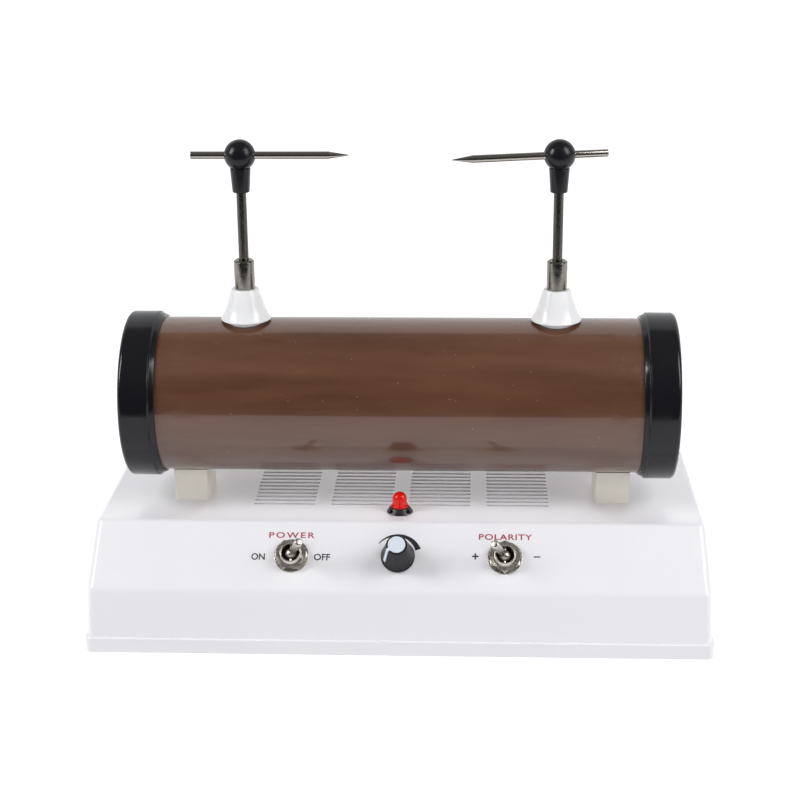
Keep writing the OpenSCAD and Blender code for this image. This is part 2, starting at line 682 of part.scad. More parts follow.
module potentiometer() color("#8c8f92") on_panel(0, panel_mid) difference() {
  union() {
    translate([0, 0, -wall - 9]) cylinder(d = 17, h = 9 - fit_gap);
    translate([0, 0, -wall - 1]) cylinder(d = pot_bushing_d, h = wall + 1 + pot_bushing_out);
    for (x = [-5, 0, 5]) translate([x - 1, -16, -wall - 3.4]) cube([2, 9, 0.5]);
  }
  translate([0, 0, -wall - 7]) cylinder(d = shaft_d + 2 * run_gap, h = wall + 20);
}

module potentiometer_shaft() color("#c2bfb9") on_panel(0, panel_mid)
  translate([0, 0, -wall - 6.6]) cylinder(d = shaft_d, h = wall + 6.6 + shaft_top);

module potentiometer_nut() color("#c2bfb9") on_panel(0, panel_mid)
  translate([0, 0, fit_gap]) hex_nut(10, 2.4, pot_bushing_d + fit_gap, 0);

// ---------------------------------------------------------------- pilot lamp

clip_rise = 3.2;
clip_leg_r = 7.4;
clip_top_r = 5.7;
lamp_z = top_z + clip_rise;
module pilot_lamp() color("#e0231c") translate([0, -lamp_front, lamp_z]) {
  rotate_extrude() difference() {
    union() {
      square([lamp_d / 2, lamp_h - lamp_d / 2]);
      translate([0, lamp_h - lamp_d / 2]) intersection() {
        circle(d = lamp_d);
        square(lamp_d);
      }
      square([lamp_d / 2 + 0.8, 1]);
      translate([0, -clip_rise - wall - 1]) square([lamp_d / 2 - 0.6, clip_rise + wall + 1.5]);
    }
    translate([-lamp_d, -lamp_d]) square([lamp_d, 4 * lamp_d]);
  }
  for (x = [-1.27, 1.27]) translate([x - 0.3, -0.3, -clip_rise - wall - 13]) cube([0.6, 0.6, 13]);
}

// The clip's sleeve passes the plate; four legs flare down from its rim on to the plate
module lamp_clip() color("#202024") translate([0, -lamp_front, top_z]) difference() {
  rotate_extrude() polygon([[lamp_d / 2 - 0.4, -wall - 2], [lamp_hole_d / 2 - fit_gap, -wall - 2],
    [lamp_hole_d / 2 - fit_gap, 0.4], [clip_leg_r - 1.4, fit_gap], [clip_leg_r, fit_gap],
    [clip_top_r, clip_rise - 0.6], [clip_top_r - 0.4, clip_rise - fit_gap],
    [lamp_d / 2 - 0.4, clip_rise - fit_gap]]);
  for (a = [45 : 90 : 315]) rotate(a) translate([lamp_d / 2 + 0.9, -1.1, fit_gap - 1])
    cube([5, 2.2, clip_rise + 0.2]);
}

// ---------------------------------------------------------------- electronics

module board_spacers() color("#c9a64a") for (p = board_spots) translate([p[0], p[1], floor_z])
  difference() {
    cylinder(r = 3.4, h = spacer_h, $fn = 6);
    translate([0, 0, -1]) cylinder(d = board_screw_d - 0.4, h = spacer_h + 2);
  }

cap_spot = [board_x - 52, board_y + 2];
cap_legs = [-3.7, 3.7];
sink_spot = [board_x + 24, board_y + 6];
transistor_legs = [-5.4, 0, 5.4];
leg_back = 2.3;
module circuit_board() color("#2f6b45") difference() {
  translate([board_x - board_w / 2, board_y - board_d / 2, board_z])
    cube([board_w, board_d, board_t]);
  for (p = board_spots) translate([p[0], p[1], board_z - 1])
    cylinder(d = board_screw_d + 0.4, h = board_t + 2);
  for (x = cap_legs) translate([cap_spot[0] + x, cap_spot[1], board_z - 1])
    cylinder(d = 1.2, h = board_t + 2);
  for (x = transistor_legs) translate([sink_spot[0] + x, sink_spot[1] - leg_back, board_z - 1])
    cylinder(d = 1.7, h = board_t + 2);
}

module board_screws() color("#b9bbbd") for (p = board_spots) {
  translate([p[0], p[1], board_z + board_t]) mirror([0, 0, 1])
    screw_up(board_screw_d - 0.5, 5.4, 1.8, board_t + 2.6);
  translate([p[0], p[1], cover_z]) screw_up(board_screw_d - 0.5, 5.4, 1.2, cover_t + 2.6);
}

part_z = board_z + board_t;
capacitor_r = 9;
capacitor_h = 24.6;
module smoothing_capacitor() color("#2c3f7a") translate([cap_spot[0], cap_spot[1], part_z]) {
  rotate_extrude() polygon([[0, 0], [capacitor_r, 0], [capacitor_r, 2.4], [capacitor_r - 0.5, 3],
    [capacitor_r, 3.6], [capacitor_r, capacitor_h - 0.6], [capacitor_r - 0.6, capacitor_h],
    [0, capacitor_h]]);
  for (x = cap_legs) translate([x, 0, -board_t - 1]) cylinder(d = 0.9, h = board_t + 2);
}

sink_w = 46;
sink_t = 3;
fin_t = 1.6;
fin_reach = 11;
module heat_sink() color("#6f7276") translate([sink_spot[0], sink_spot[1], part_z]) {
  translate([-sink_w / 2, 0, 0]) cube([sink_w, sink_t, sink_h]);
  for (i = [0 : fin_count - 1])
    translate([-sink_w / 2 + i * (sink_w - fin_t) / (fin_count - 1), sink_t - 1, 0])
      cube([fin_t, 1 + fin_reach, sink_h]);
}

module switching_transistor() color("#1c1c1e") translate([sink_spot[0], sink_spot[1], part_z + 8]) {
  difference() {
    union() {
      translate([-7.8, -4.8, 0]) cube([15.6, 4.8 - fit_gap, 18]);
      for (x = transistor_legs) translate([x - 0.6, -leg_back - 0.3, -10.6]) cube([1.2, 0.6, 11]);
    }
    translate([0, 1, 14]) rotate([90, 0, 0]) cylinder(d = 3.4, h = 8);
  }
}

transformer_x = 104;
transformer_y = 26;
lam_d = 20;
limb = core_w / 6;
module transformer_core() color("#55585c") translate([transformer_x, transformer_y, floor_z])
  rotate([90, 0, 0]) translate([0, 0, -lam_d / 2]) linear_extrude(lam_d) difference() {
    translate([-core_w / 2, 0]) square([core_w, transformer_h]);
    for (sx = [-1, 1]) translate([sx * core_w / 4 - limb / 2, limb])
      square([limb, transformer_h - 2 * limb]);
  }

coil_gap = 0.3;
module transformer_winding() color("#c8b25a") translate([transformer_x, transformer_y, floor_z]) {
  difference() {
    translate([-limb * 2 + coil_gap, -lam_d / 2 - limb, limb + coil_gap])
      cube([limb * 4 - 2 * coil_gap, lam_d + 2 * limb, transformer_h - 2 * limb - 2 * coil_gap]);
    translate([-limb - coil_gap, -lam_d / 2 - coil_gap, 0])
      cube([2 * limb + 2 * coil_gap, lam_d + 2 * coil_gap, transformer_h]);
  }
}

fuse_x = board_x - 20;
fuse_y = board_y - 22;
fuse_z = part_z + 5;
module fuse() color("#d6dadd") translate([fuse_x - 10, fuse_y, fuse_z]) rotate([0, 90, 0]) {
  cylinder(d = 5, h = 5.4);
  cylinder(d = 4.6, h = 20);
  translate([0, 0, 14.6]) cylinder(d = 5, h = 5.4);
}

module fuse_clips() color("#c9a64a") for (x = [-8.6, 5.4]) translate([fuse_x + x, fuse_y, 0]) {
  difference() {
    translate([0, -3.3, part_z]) cube([3.2, 6.6, 6.4]);
    translate([-1, 0, fuse_z]) rotate([0, 90, 0]) cylinder(d = 5 + fit_gap, h = 6);
    translate([-1, -2, fuse_z]) cube([6, 4, 6]);
  }
}

// ---------------------------------------------------------------- assembly

base_housing();
bottom_cover();
cover_screws();
rubber_feet();
foot_screws();
cable_grommet();
saddle(-1);  // left_saddle
saddle(1);  // right_saddle
saddle_bolts();
coil_tube();
end_cap(-1);  // left_end_cap
end_cap(1);  // right_end_cap
iron_core();
primary_winding();
insulating_tube();
secondary_bobbin();
secondary_winding();
insulator(-1);  // left_insulator
insulator(1);  // right_insulator
collar(-1);  // left_collar
collar(1);  // right_collar
stem(-1);  // left_stem
stem(1);  // right_stem
stem_nuts();
ball_head(-1);  // left_ball_head
ball_head(1);  // right_ball_head
needle_rod(-1);  // left_needle_rod
needle_rod(1);  // right_needle_rod
switch_body(-1);  // left_switch_body
switch_body(1);  // right_switch_body
switch_washers();
switch_nuts();
lever(-1);  // left_lever
lever(1);  // right_lever
lever_pins();
knob();
knob_cap();
potentiometer();
potentiometer_shaft();
potentiometer_nut();
pilot_lamp();
lamp_clip();
circuit_board();
board_spacers();
board_screws();
smoothing_capacitor();
heat_sink();
switching_transistor();
transformer_core();
transformer_winding();
fuse();
fuse_clips();
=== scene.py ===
import math

import bmesh
import bpy
from mathutils import Matrix, Vector


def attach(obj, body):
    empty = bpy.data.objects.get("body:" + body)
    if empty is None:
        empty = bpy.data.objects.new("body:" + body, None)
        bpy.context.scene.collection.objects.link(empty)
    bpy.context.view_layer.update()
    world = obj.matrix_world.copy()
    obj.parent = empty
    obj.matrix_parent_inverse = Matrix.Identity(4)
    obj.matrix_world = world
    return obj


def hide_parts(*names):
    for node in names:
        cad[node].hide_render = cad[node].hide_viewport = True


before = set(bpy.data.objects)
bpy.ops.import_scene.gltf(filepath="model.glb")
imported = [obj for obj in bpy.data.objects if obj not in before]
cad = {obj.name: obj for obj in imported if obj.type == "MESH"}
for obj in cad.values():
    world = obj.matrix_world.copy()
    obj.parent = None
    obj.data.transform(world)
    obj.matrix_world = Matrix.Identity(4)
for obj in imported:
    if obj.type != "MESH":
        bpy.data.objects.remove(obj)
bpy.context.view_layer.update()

mm = 0.001

# ------------------------------------------------------------------ studio
# A bright table between two soft boxes, with a white sweep behind. Dark cloth hangs in
# front and overhead, seen in the gloss only: it keeps the middle of the tube, the caps and
# the balls dark, while their tops take the sweep and their undersides take the table.

studio = bpy.context.scene
studio.view_settings.view_transform = "Standard"
studio.view_settings.look = "None"


def linear(code):
    """sRGB hex to the linear colour that a shader wants."""
    parts = [int(code[i : i + 2], 16) / 255 for i in (0, 2, 4)]
    return [c / 12.92 if c <= 0.04045 else ((c + 0.055) / 1.055) ** 2.4 for c in parts] + [1]


def put(tree, kind, settings=(), links=()):
    """Adds a node. Settings are its properties or the values of its inputs; a link is
    (input, node that feeds it, that node's output)."""
    made = tree.nodes.new(kind)
    for name, value in dict(settings).items():
        if isinstance(name, str) and name not in made.inputs:
            setattr(made, name, value)
        else:
            made.inputs[name].default_value = value
    for name, source, out in links:
        tree.links.new(source.outputs[out], made.inputs[name])
    return made


def finish(name, colour, roughness, **shader):
    """A new material: (material, tree, shader node, node of the object's coordinates)."""
    material = bpy.data.materials.new(name)
    material.use_nodes = True
    tree = material.node_tree
    surface = tree.nodes["Principled BSDF"]
    surface.inputs["Base Color"].default_value = linear(colour)
    surface.inputs["Roughness"].default_value = roughness
    for socket, value in shader.items():
        surface.inputs[socket.replace("_", " ")].default_value = value
    return material, tree, surface, put(tree, "ShaderNodeTexCoord")


def glowing(name, colour, strength):
    paper, _, surface, _ = finish(name, colour, 0.9)
    surface.inputs["Emission Color"].default_value = (0.98, 0.99, 1.0, 1)
    surface.inputs["Emission Strength"].default_value = strength
    return paper


def plain_object(name, mesh):
    made = bpy.data.objects.new(name, mesh)
    studio.collection.objects.link(made)
    return made


def sheet(name, corners, faces, material):
    """A sheet of the studio's set, in metres."""
    mesh = bpy.data.meshes.new(name)
    mesh.from_pydata(corners, [], faces)
    mesh.materials.append(material)
    made = plain_object(name, mesh)
    return made


# The table is seen white, and lights the coil from below a little less than it looks.
table_corners = [(-6, -6, 0), (6, -6, 0), (6, 6, 0), (-6, 6, 0)]
table_paper = glowing("matt_white_paper", "808080", 1.02)
table = sheet("table", table_corners, [(0, 1, 2, 3)], table_paper)
table.visible_diffuse = False
lit_paper = glowing("lit_white_paper", "808080", 0.66)
table_glow = sheet("table_glow", table_corners, [(0, 1, 2, 3)], lit_paper)
table_glow.visible_camera = table_glow.visible_glossy = table_glow.visible_transmission = False

set_half, arch_r, arch_z = 2.2, 1.25, 0.126


def hanging(name, line, material):
    """A sheet hung across the set along a line of (y, z), which only glossy rays meet."""
    made = sheet(name, [(x, y, z) for y, z in line for x in (-set_half, set_half)],
                 [(2 * i, 2 * i + 1, 2 * i + 3, 2 * i + 2) for i in range(len(line) - 1)],
                 material)
    made.visible_camera = made.visible_diffuse = False
    made.visible_shadow = made.visible_transmission = False


def overhead(start, end, steps=24):
    """Points of an arch over the set, between two angles up from the front."""
    turns = [math.radians(start + (end - start) * i / steps) for i in range(steps + 1)]
    return [(-arch_r * math.cos(t), arch_z + arch_r * math.sin(t)) for t in turns]


# the cloth is darkest in front and turns grey overhead: painted light, an emission that rises with
# height in place of the room's light reaching it
cloth_black, tree, surface, spot = finish("black_velvet", "000000", 1.0)
surface.inputs["Emission Color"].default_value = (1, 1, 1, 1)
height = put(tree, "ShaderNodeSeparateXYZ", {}, [("Vector", spot, "Object")])
painted_overhead_light = put(tree, "ShaderNodeMapRange",
           {"From Min": 0.3, "From Max": 1.35, "To Min": 0.015, "To Max": 0.16},
           [("Value", height, "Z")])
tree.links.new(painted_overhead_light.outputs["Result"], surface.inputs["Emission Strength"])
hanging("black_cloth", [(-0.52, 0.002)] + overhead(20, 120), cloth_black)
hanging("white_sweep", overhead(120, 183), glowing("white_sweep_paper", "000000", 0.78))


def soft_box(name, place, target_z, size, power, shows=True):
    """A soft light at a place in metres, turned towards a height over the set's middle."""
    lamp = bpy.data.lights.new(name, "AREA")
    lamp.shape = "RECTANGLE"
    lamp.size, lamp.size_y = size
    lamp.energy = power
    made = bpy.data.objects.new(name, lamp)
    studio.collection.objects.link(made)
    made.location = place
    towards = Vector((0, 0, target_z)) - Vector(place)
    made.rotation_euler = towards.to_track_quat("-Z", "Y").to_euler()
    made.visible_glossy = shows


soft_box("left_box", (-0.95, -0.4, 0.8), 0.1, (0.3, 0.62), 7.2)
soft_box("right_box", (0.9, -0.42, 0.85), 0.1, (0.5, 0.8), 7.7)
soft_box("front_fill", (0.04, -1.25, 0.45), 0.1, (1.2, 0.6), 1.2, shows=False)
soft_box("rear_fill", (0.0, 1.15, 0.36), 0.06, (1.0, 0.25), 13.5, shows=False)
for side in (-1, 1):
    soft_box("low_fill", (side * 1.1, -0.42, 0.24), 0.08, (0.5, 0.3), 1.3, shows=False)

studio.world = bpy.data.worlds.new("studio")
studio.world.use_nodes = True
sky = studio.world.node_tree.nodes["Background"]
sky.inputs["Color"].default_value = (0.97, 0.98, 1.0, 1)
sky.inputs["Strength"].default_value = 0.26

# The camera stands a little to the right of the coil's middle and looks down on it.
eye = Vector((40.82, -901.36, 438.33)) * mm
yaw, pitch, roll = -0.046033, 0.337154, -0.009249
focal_px, picture_px, sensor = 1703.28, 800, 36
forward = Vector((math.sin(yaw) * math.cos(pitch), math.cos(yaw) * math.cos(pitch),
                  -math.sin(pitch)))
level = Vector((math.cos(yaw), -math.sin(yaw), 0))
upward = level.cross(forward)
right = level * math.cos(roll) + upward * math.sin(roll)
upward = upward * math.cos(roll) - level * math.sin(roll)
view = bpy.data.cameras.new("photo_view")
view.sensor_width = sensor
view.lens = focal_px * sensor / picture_px
view.clip_start = 0.05
camera = plain_object("photo_view", view)
camera.matrix_world = Matrix((
    (right.x, upward.x, -forward.x, eye.x),
    (right.y, upward.y, -forward.y, eye.y),
    (right.z, upward.z, -forward.z, eye.z),
    (0, 0, 0, 1)))
studio.camera = camera

# ------------------------------------------------------------------ housing
# One injection moulding in glossy white ABS: a flat top plate with four groups of slots,
# a leaning control panel, a low front and a small flange round the foot. The wall is
# 2.5 mm thick and every edge has the soft radius of the mould.

foot_up = 1.0
flange = (342.5, 150.0, 8.4)
flange_out = 1.3
house_top = 65.4
break_h = 36.5
lean = math.radians(45)
draft = math.radians(2.7)
skin = 2.5


def wall_x(h):
    return flange[0] / 2 - flange_out - (h - flange[2]) * math.tan(draft)


def wall_y(h):
    return flange[1] / 2 - flange_out - (h - flange[2]) * math.tan(draft)


break_y = -wall_y(break_h)
panel_half = (house_top - break_h) / math.cos(lean) / 2


def at(x, y, z, *turns):
    """The matrix that puts a shape in mm at a place in mm, after turns of (angle, axis)."""
    place = Matrix.Translation([c * mm for c in (x, y, z)])
    for angle, axis in turns:
        place = place @ Matrix.Rotation(angle, 4, axis)
    return place @ Matrix.Scale(mm, 4)


def on_panel(x, up, out=0.0):
    """Matrix of a place on the control panel: x across, up the slope from its lower edge,
    out of its face. Its own Z stands out of the panel."""
    place = Vector((x, break_y + up * math.sin(lean), foot_up + break_h + up * math.cos(lean)))
    normal = Vector((0, -math.cos(lean), math.sin(lean)))
    place += normal * out
    tilt = Matrix.Rotation(math.pi / 2 - lean, 4, "X")
    return Matrix.Translation(place * mm) @ tilt @ Matrix.Scale(mm, 4)


def shaped(name, build, place=None):
    """The bmesh as an object, put where place says."""
    if place is not None:
        build.transform(place)
    mesh = bpy.data.meshes.new(name)
    build.to_mesh(mesh)
    build.free()
    return plain_object(name, mesh)


def prism(outline, corner):
    """A closed solid between two ends. corner(end, point) is a corner's place, end -1 or 1."""
    build = bmesh.new()
    ends = [[build.verts.new(corner(end, *point)) for point in outline] for end in (-1, 1)]
    build.faces.new(ends[0])
    build.faces.new(ends[1][::-1])
    for k in range(len(outline)):
        n = (k + 1) % len(outline)
        build.faces.new((ends[0][n], ends[0][k], ends[1][k], ends[1][n]))
    bmesh.ops.recalc_face_normals(build, faces=build.faces)
    return build


def block_of_walls(inset, foot, top, radii, steps):
    """The housing's flat walls set in by inset, with each edge rounded by a bevel."""
    shift = inset / math.cos(lean)
    meet = break_h + (inset - shift) / (math.tan(lean) - math.tan(draft))
    outline = [(inset - wall_y(foot), foot), (inset - wall_y(meet), meet),
               (break_y + shift + (top - break_h) * math.tan(lean), top),
               (wall_y(top) - inset, top), (wall_y(foot) - inset, foot)]
    build = prism(outline, lambda end, y, z: (end * (wall_x(z) - inset), y, z))
    weight = build.edges.layers.float.new("bevel_weight_edge")
    widest = max(radii.values())
    for edge in build.edges:
        low, high = sorted(v.co.z for v in edge.verts)
        if high <= foot + 0.01:
            continue
        kind = "top" if low > top - 0.01 else "corner"
        if abs(high - low) < 0.01 and abs(low - meet) < 0.01:
            kind = "bend"
        edge[weight] = radii[kind] * math.tan(edge.calc_face_angle() / 2) / widest
    made = shaped("walls", build)
    bevel = made.modifiers.new("bevel", "BEVEL")
    bevel.limit_method = "WEIGHT"
    bevel.width = widest
    bevel.segments = steps
    return made


def settled(thing, name=None):
    """The object's mesh with its modifiers worked in, on a plain object of its own."""
    worked = thing.evaluated_get(bpy.context.evaluated_depsgraph_get())
    mesh = bpy.data.meshes.new_from_object(worked)
    old = thing.name
    bpy.data.objects.remove(thing)
    return plain_object(name or old, mesh)


def carve(thing, tools, how="DIFFERENCE"):
    for tool in tools:
        cut = thing.modifiers.new("cut", "BOOLEAN")
        cut.operation = how
        cut.solver = "EXACT"
        cut.object = tool
    made = settled(thing)
    for tool in tools:
        bpy.data.objects.remove(tool)
    return made


def turned(name, profile, place=None, steps=64):
    """A piece turned on a lathe: profile is (radius, height) in mm from bottom to top, or
    (radius, height, rounding). place is the matrix of its foot."""
    arc_steps = 5
    line = []
    for k, point in enumerate(profile):
        here = Vector(point[:2])
        if len(point) < 3 or not point[2]:
            line.append(here)
            continue
        a = Vector(profile[k - 1][:2]) - here
        b = Vector(profile[(k + 1) % len(profile)][:2]) - here
        angle = a.angle(b)
        reach = min(point[2] / math.tan(angle / 2), a.length * 0.49, b.length * 0.49)
        radius = reach * math.tan(angle / 2)
        start = here + a.normalized() * reach
        end = here + b.normalized() * reach
        inward = (a.normalized() + b.normalized()).normalized()
        centre = here + inward * (radius / math.sin(angle / 2))
        for i in range(arc_steps + 1):
            p = start.lerp(end, i / arc_steps) - centre
            line.append(centre + p.normalized() * radius)
    build = bmesh.new()
    rings = []
    for p in line:
        if p.x < 1e-6:
            rings.append([build.verts.new((0, 0, p.y))])
        else:
            angles = [2 * math.pi * i / steps for i in range(steps)]
            rings.append([build.verts.new((p.x * math.cos(a), p.x * math.sin(a), p.y))
                          for a in angles])
    closed = line[0].x > 1e-6 and line[-1].x > 1e-6
    pairs = list(zip(rings, rings[1:])) + ([(rings[-1], rings[0])] if closed else [])
    for low, high in pairs:
        if len(low) == 1 and len(high) == 1:
            continue
        for i in range(steps):
            j = (i + 1) % steps
            if len(low) == 1:
                build.faces.new((low[0], high[j], high[i]))
            elif len(high) == 1:
                build.faces.new((low[i], low[j], high[0]))
            else:
                build.faces.new((low[i], low[j], high[j], high[i]))
    bmesh.ops.remove_doubles(build, verts=build.verts, dist=1e-5)
    bmesh.ops.recalc_face_normals(build, faces=build.faces)
    return shaped(name, build, place if place else Matrix.Scale(mm, 4))


def smooth(thing, angle=32, weighted=False):
    thing.data.shade_smooth()
    thing.data.set_sharp_from_angle(angle=math.radians(angle))
    if weighted:
        even = thing.modifiers.new("even", "WEIGHTED_NORMAL")
        even.keep_sharp = True
        thing = settled(thing)
    return thing


def fit(thing, material, body, *nodes, slot=None):
    """Gives a finished piece its material and its place in the frame."""
    thing.data.materials.clear()
    thing.data.materials.append(material)
    for face in thing.data.polygons:
        face.material_index = 0
    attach(thing, body)
    if nodes:
        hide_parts(*nodes)
    return thing


outside = block_of_walls(0, 0, house_top, {"corner": 4.0, "top": 3.2, "bend": 5.0}, 6)
inside = block_of_walls(skin, -1, house_top - skin, {"corner": 1.5, "top": 0.7, "bend": 2.5}, 3)

rim = bmesh.new()
bmesh.ops.create_cube(rim, size=1)
rim.transform(Matrix.Translation((0, 0, flange[2] / 2)) @ Matrix.Diagonal((*flange, 1)))
upright_edges = [e for e in rim.edges if abs(e.verts[0].co.z - e.verts[1].co.z) > 1]
bmesh.ops.bevel(rim, geom=upright_edges, offset=4, segments=6, profile=0.5, affect="EDGES")
top_edges = [e for e in rim.edges if min(v.co.z for v in e.verts) > 8.3]
bmesh.ops.bevel(rim, geom=top_edges, offset=0.5, segments=3, profile=0.5, affect="EDGES")
rim_block = shaped("rim", rim)

# The slots stand in four groups of sixteen; each has a fine broken edge at its mouth.
slot_long, slot_wide, slot_soft = 34.3, 2.2, 0.45
slot_groups, slot_rows = 4, 16
slot_pitch = 5.24
slot_bar = 9.4
slot_front = 18.8
slot_levels = ((-5.0, 0.0), (-0.28, 0.0), (0.02, 0.24), (1.0, 0.24))

slot_shape = bmesh.new()
for z, grow in slot_levels:
    soft = slot_soft + grow
    reach_x, reach_y = slot_long / 2 + grow - soft, slot_wide / 2 + grow - soft
    for sx, sy in ((1, 1), (-1, 1), (-1, -1), (1, -1)):
        for k in range(4):
            a = math.atan2(sy, sx) - math.pi / 4 + math.pi / 2 * k / 3
            slot_shape.verts.new((sx * reach_x + soft * math.cos(a),
                                  sy * reach_y + soft * math.sin(a), z))
slot_shape.verts.ensure_lookup_table()
corners = 16
rings = [slot_shape.verts[k : k + corners] for k in range(0, corners * 4, corners)]
for low, high in zip(rings, rings[1:]):
    for k in range(corners):
        n = (k + 1) % corners
        slot_shape.faces.new((low[k], low[n], high[n], high[k]))
slot_shape.faces.new(rings[0][::-1])
slot_shape.faces.new(rings[-1])
slot_tool = shaped("slot_tool", slot_shape)


def rule_tree(name, **asks):
    """A Geometry Nodes tree with inputs of these kinds, and the node that brings them."""
    tree = bpy.data.node_groups.new(name, "GeometryNodeTree")
    tree.is_modifier = True
    for label, kind in asks.items():
        tree.interface.new_socket(label, in_out="INPUT", socket_type="NodeSocket" + kind)
    tree.interface.new_socket("Pieces", in_out="OUTPUT", socket_type="NodeSocketGeometry")
    return tree, put(tree, "NodeGroupInput")


def close_rule(tree, asked, copies, out):
    """Makes the copies real, gives them the material and hands them out."""
    real = put(tree, "GeometryNodeRealizeInstances", {}, [("Geometry", copies, out)])
    coated = put(tree, "GeometryNodeSetMaterial", {}, [
        ("Geometry", real, "Geometry"), ("Material", asked, "Material")])
    put(tree, "NodeGroupOutput", {}, [("Pieces", coated, "Geometry")])


def by_rule(name, tree, mesh=None, **values):
    """An object that a Geometry Nodes tree makes from these values out of one piece."""
    made = plain_object(name, mesh or bpy.data.meshes.new(name))
    rule = made.modifiers.new("rule", "NODES")
    rule.node_group = tree
    for item in tree.interface.items_tree:
        if item.in_out == "INPUT" and item.name in values:
            rule[item.identifier] = values[item.name]
    made = settled(made)
    bpy.data.objects.remove(values["Piece"])
    return made


slot_tree, asked = rule_tree("rows_of_slots", Piece="Object", Groups="Int", Rows="Int",
                             Width="Float", Depth="Float", Middle="Vector", Material="Material")
grid = put(slot_tree, "GeometryNodeMeshGrid", {}, [
    ("Size X", asked, "Width"), ("Size Y", asked, "Depth"),
    ("Vertices X", asked, "Groups"), ("Vertices Y", asked, "Rows")])
one_slot = put(slot_tree, "GeometryNodeObjectInfo", {}, [("Object", asked, "Piece")])
copies = put(slot_tree, "GeometryNodeInstanceOnPoints", {}, [
    ("Points", grid, "Mesh"), ("Instance", one_slot, "Geometry")])
moved = put(slot_tree, "GeometryNodeTransform", {}, [
    ("Geometry", copies, "Instances"), ("Translation", asked, "Middle")])
close_rule(slot_tree, asked, moved, "Geometry")


def every(size):
    """The scale of a pattern whose features are this many millimetres apart."""
    return 1000 / size


def vary(tree, surface, pattern, out="Fac", tones=None, rough=None, between=(0, 1),
         relief=None, under=None):
    """Lets a pattern change a surface: its colour from one tone to another, its roughness
    over the pattern's range between, and its relief by (strength, depth in metres), laid
    over the relief under it. Returns the relief's node."""
    if tones:
        tone = put(tree, "ShaderNodeMix",
                   {"data_type": "RGBA", 6: linear(tones[0]), 7: linear(tones[1])},
                   [("Factor", pattern, out)])
        tree.links.new(tone.outputs[2], surface.inputs["Base Color"])
    if rough:
        dull = put(tree, "ShaderNodeMapRange",
                   {"From Min": between[0], "From Max": between[1],
                    "To Min": rough[0], "To Max": rough[1]}, [("Value", pattern, out)])
        tree.links.new(dull.outputs["Result"], surface.inputs["Roughness"])
    if relief:
        bump = put(tree, "ShaderNodeBump", {"Strength": relief[0], "Distance": relief[1]},
                   [("Height", pattern, out)] + ([("Normal", under, "Normal")] if under else []))
        tree.links.new(bump.outputs["Normal"], surface.inputs["Normal"])
        return bump


# The moulding's white: high gloss with a faint waviness from cooling and a very fine
# grain, a trace of bluish tint, and slightly duller patches where it was wiped.
white_abs, tree, surface, spot = finish("glossy_white_abs", "F1F0F4", 0.2, IOR=1.53)
wipes = put(tree, "ShaderNodeTexNoise", {"Scale": every(36), "Detail": 4.0},
            [("Vector", spot, "Object")])
vary(tree, surface, wipes, tones=("EFEEF4", "F4F3F5"), rough=(0.13, 0.24), between=(0.3, 0.75))
cooling = put(tree, "ShaderNodeTexNoise", {"Scale": every(22), "Detail": 1.0},
              [("Vector", spot, "Object")])
wavy = vary(tree, surface, cooling, relief=(0.05, 0.0012))
grain = put(tree, "ShaderNodeTexNoise", {"Scale": every(0.4), "Detail": 2.0},
            [("Vector", spot, "Object")])
vary(tree, surface, grain, relief=(0.06, 0.00005), under=wavy)

slot_depth = (slot_rows - 1) * slot_pitch
slots = by_rule("slots", slot_tree, Piece=slot_tool, Groups=slot_groups, Rows=slot_rows,
                Width=(slot_groups - 1) * (slot_long + slot_bar), Depth=slot_depth,
                Middle=(0, slot_depth / 2 - slot_front, house_top), Material=white_abs)


def drill(radius, place):
    """A round cutter, 12 mm long, with its middle at place, in the housing's millimetres."""
    build = bmesh.new()
    bmesh.ops.create_cone(build, segments=48, radius1=radius, radius2=radius, depth=12.0,
                          cap_ends=True)
    return shaped("drill", build, place)


def panel_in_mm(x):
    """on_panel() halfway up, in millimetres and before the housing is put on its feet."""
    return (Matrix.Translation((0, 0, -foot_up)) @ Matrix.Scale(1 / mm, 4)
            @ on_panel(x, panel_half))


switch_x = 58.0
lamp_y = -28.6
inlet_x, inlet_h = 120.0, 22.0
switch_hole, shaft_hole, lamp_hole, inlet_hole = 6.1, 3.6, 5.2, 4.5
holes = [drill(switch_hole, panel_in_mm(-switch_x)), drill(switch_hole, panel_in_mm(switch_x)),
         drill(shaft_hole, panel_in_mm(0)),
         drill(lamp_hole, Matrix.Translation((0, lamp_y, house_top))),
         drill(inlet_hole, Matrix.Translation((inlet_x, 73, inlet_h))
               @ Matrix.Rotation(math.pi / 2, 4, "X"))]
housing = carve(outside, [rim_block], "UNION")
housing = carve(housing, [inside] + holes + [slots])
housing.name = "housing_moulding"
housing.data.transform(at(0, 0, foot_up))
housing = smooth(housing, 30, weighted=True)
fit(housing, white_abs, "stand", "base_housing", slot="white_moulding")

# ------------------------------------------------------------------ saddles
# Two blocks milled from ivory nylon, hollowed on top to the tube's round and bolted up
# through the top plate. The cutter left faint upright lines on their faces.

tube_r = 43.0
tube_wall = 3.0
tube_seat_r = tube_r + 0.1
axis_z = 125.7
plate_z = foot_up + house_top
coil_half = 151.4
cap_r, cap_long, cap_floor = 46.2, 19.6, 4.0
cap_gap = 3.9
saddle_w, saddle_d = 19.0, 30.0
saddle_x = coil_half - cap_long - cap_gap - saddle_w / 2
seat_lip = 0.8
seat_steps = 16

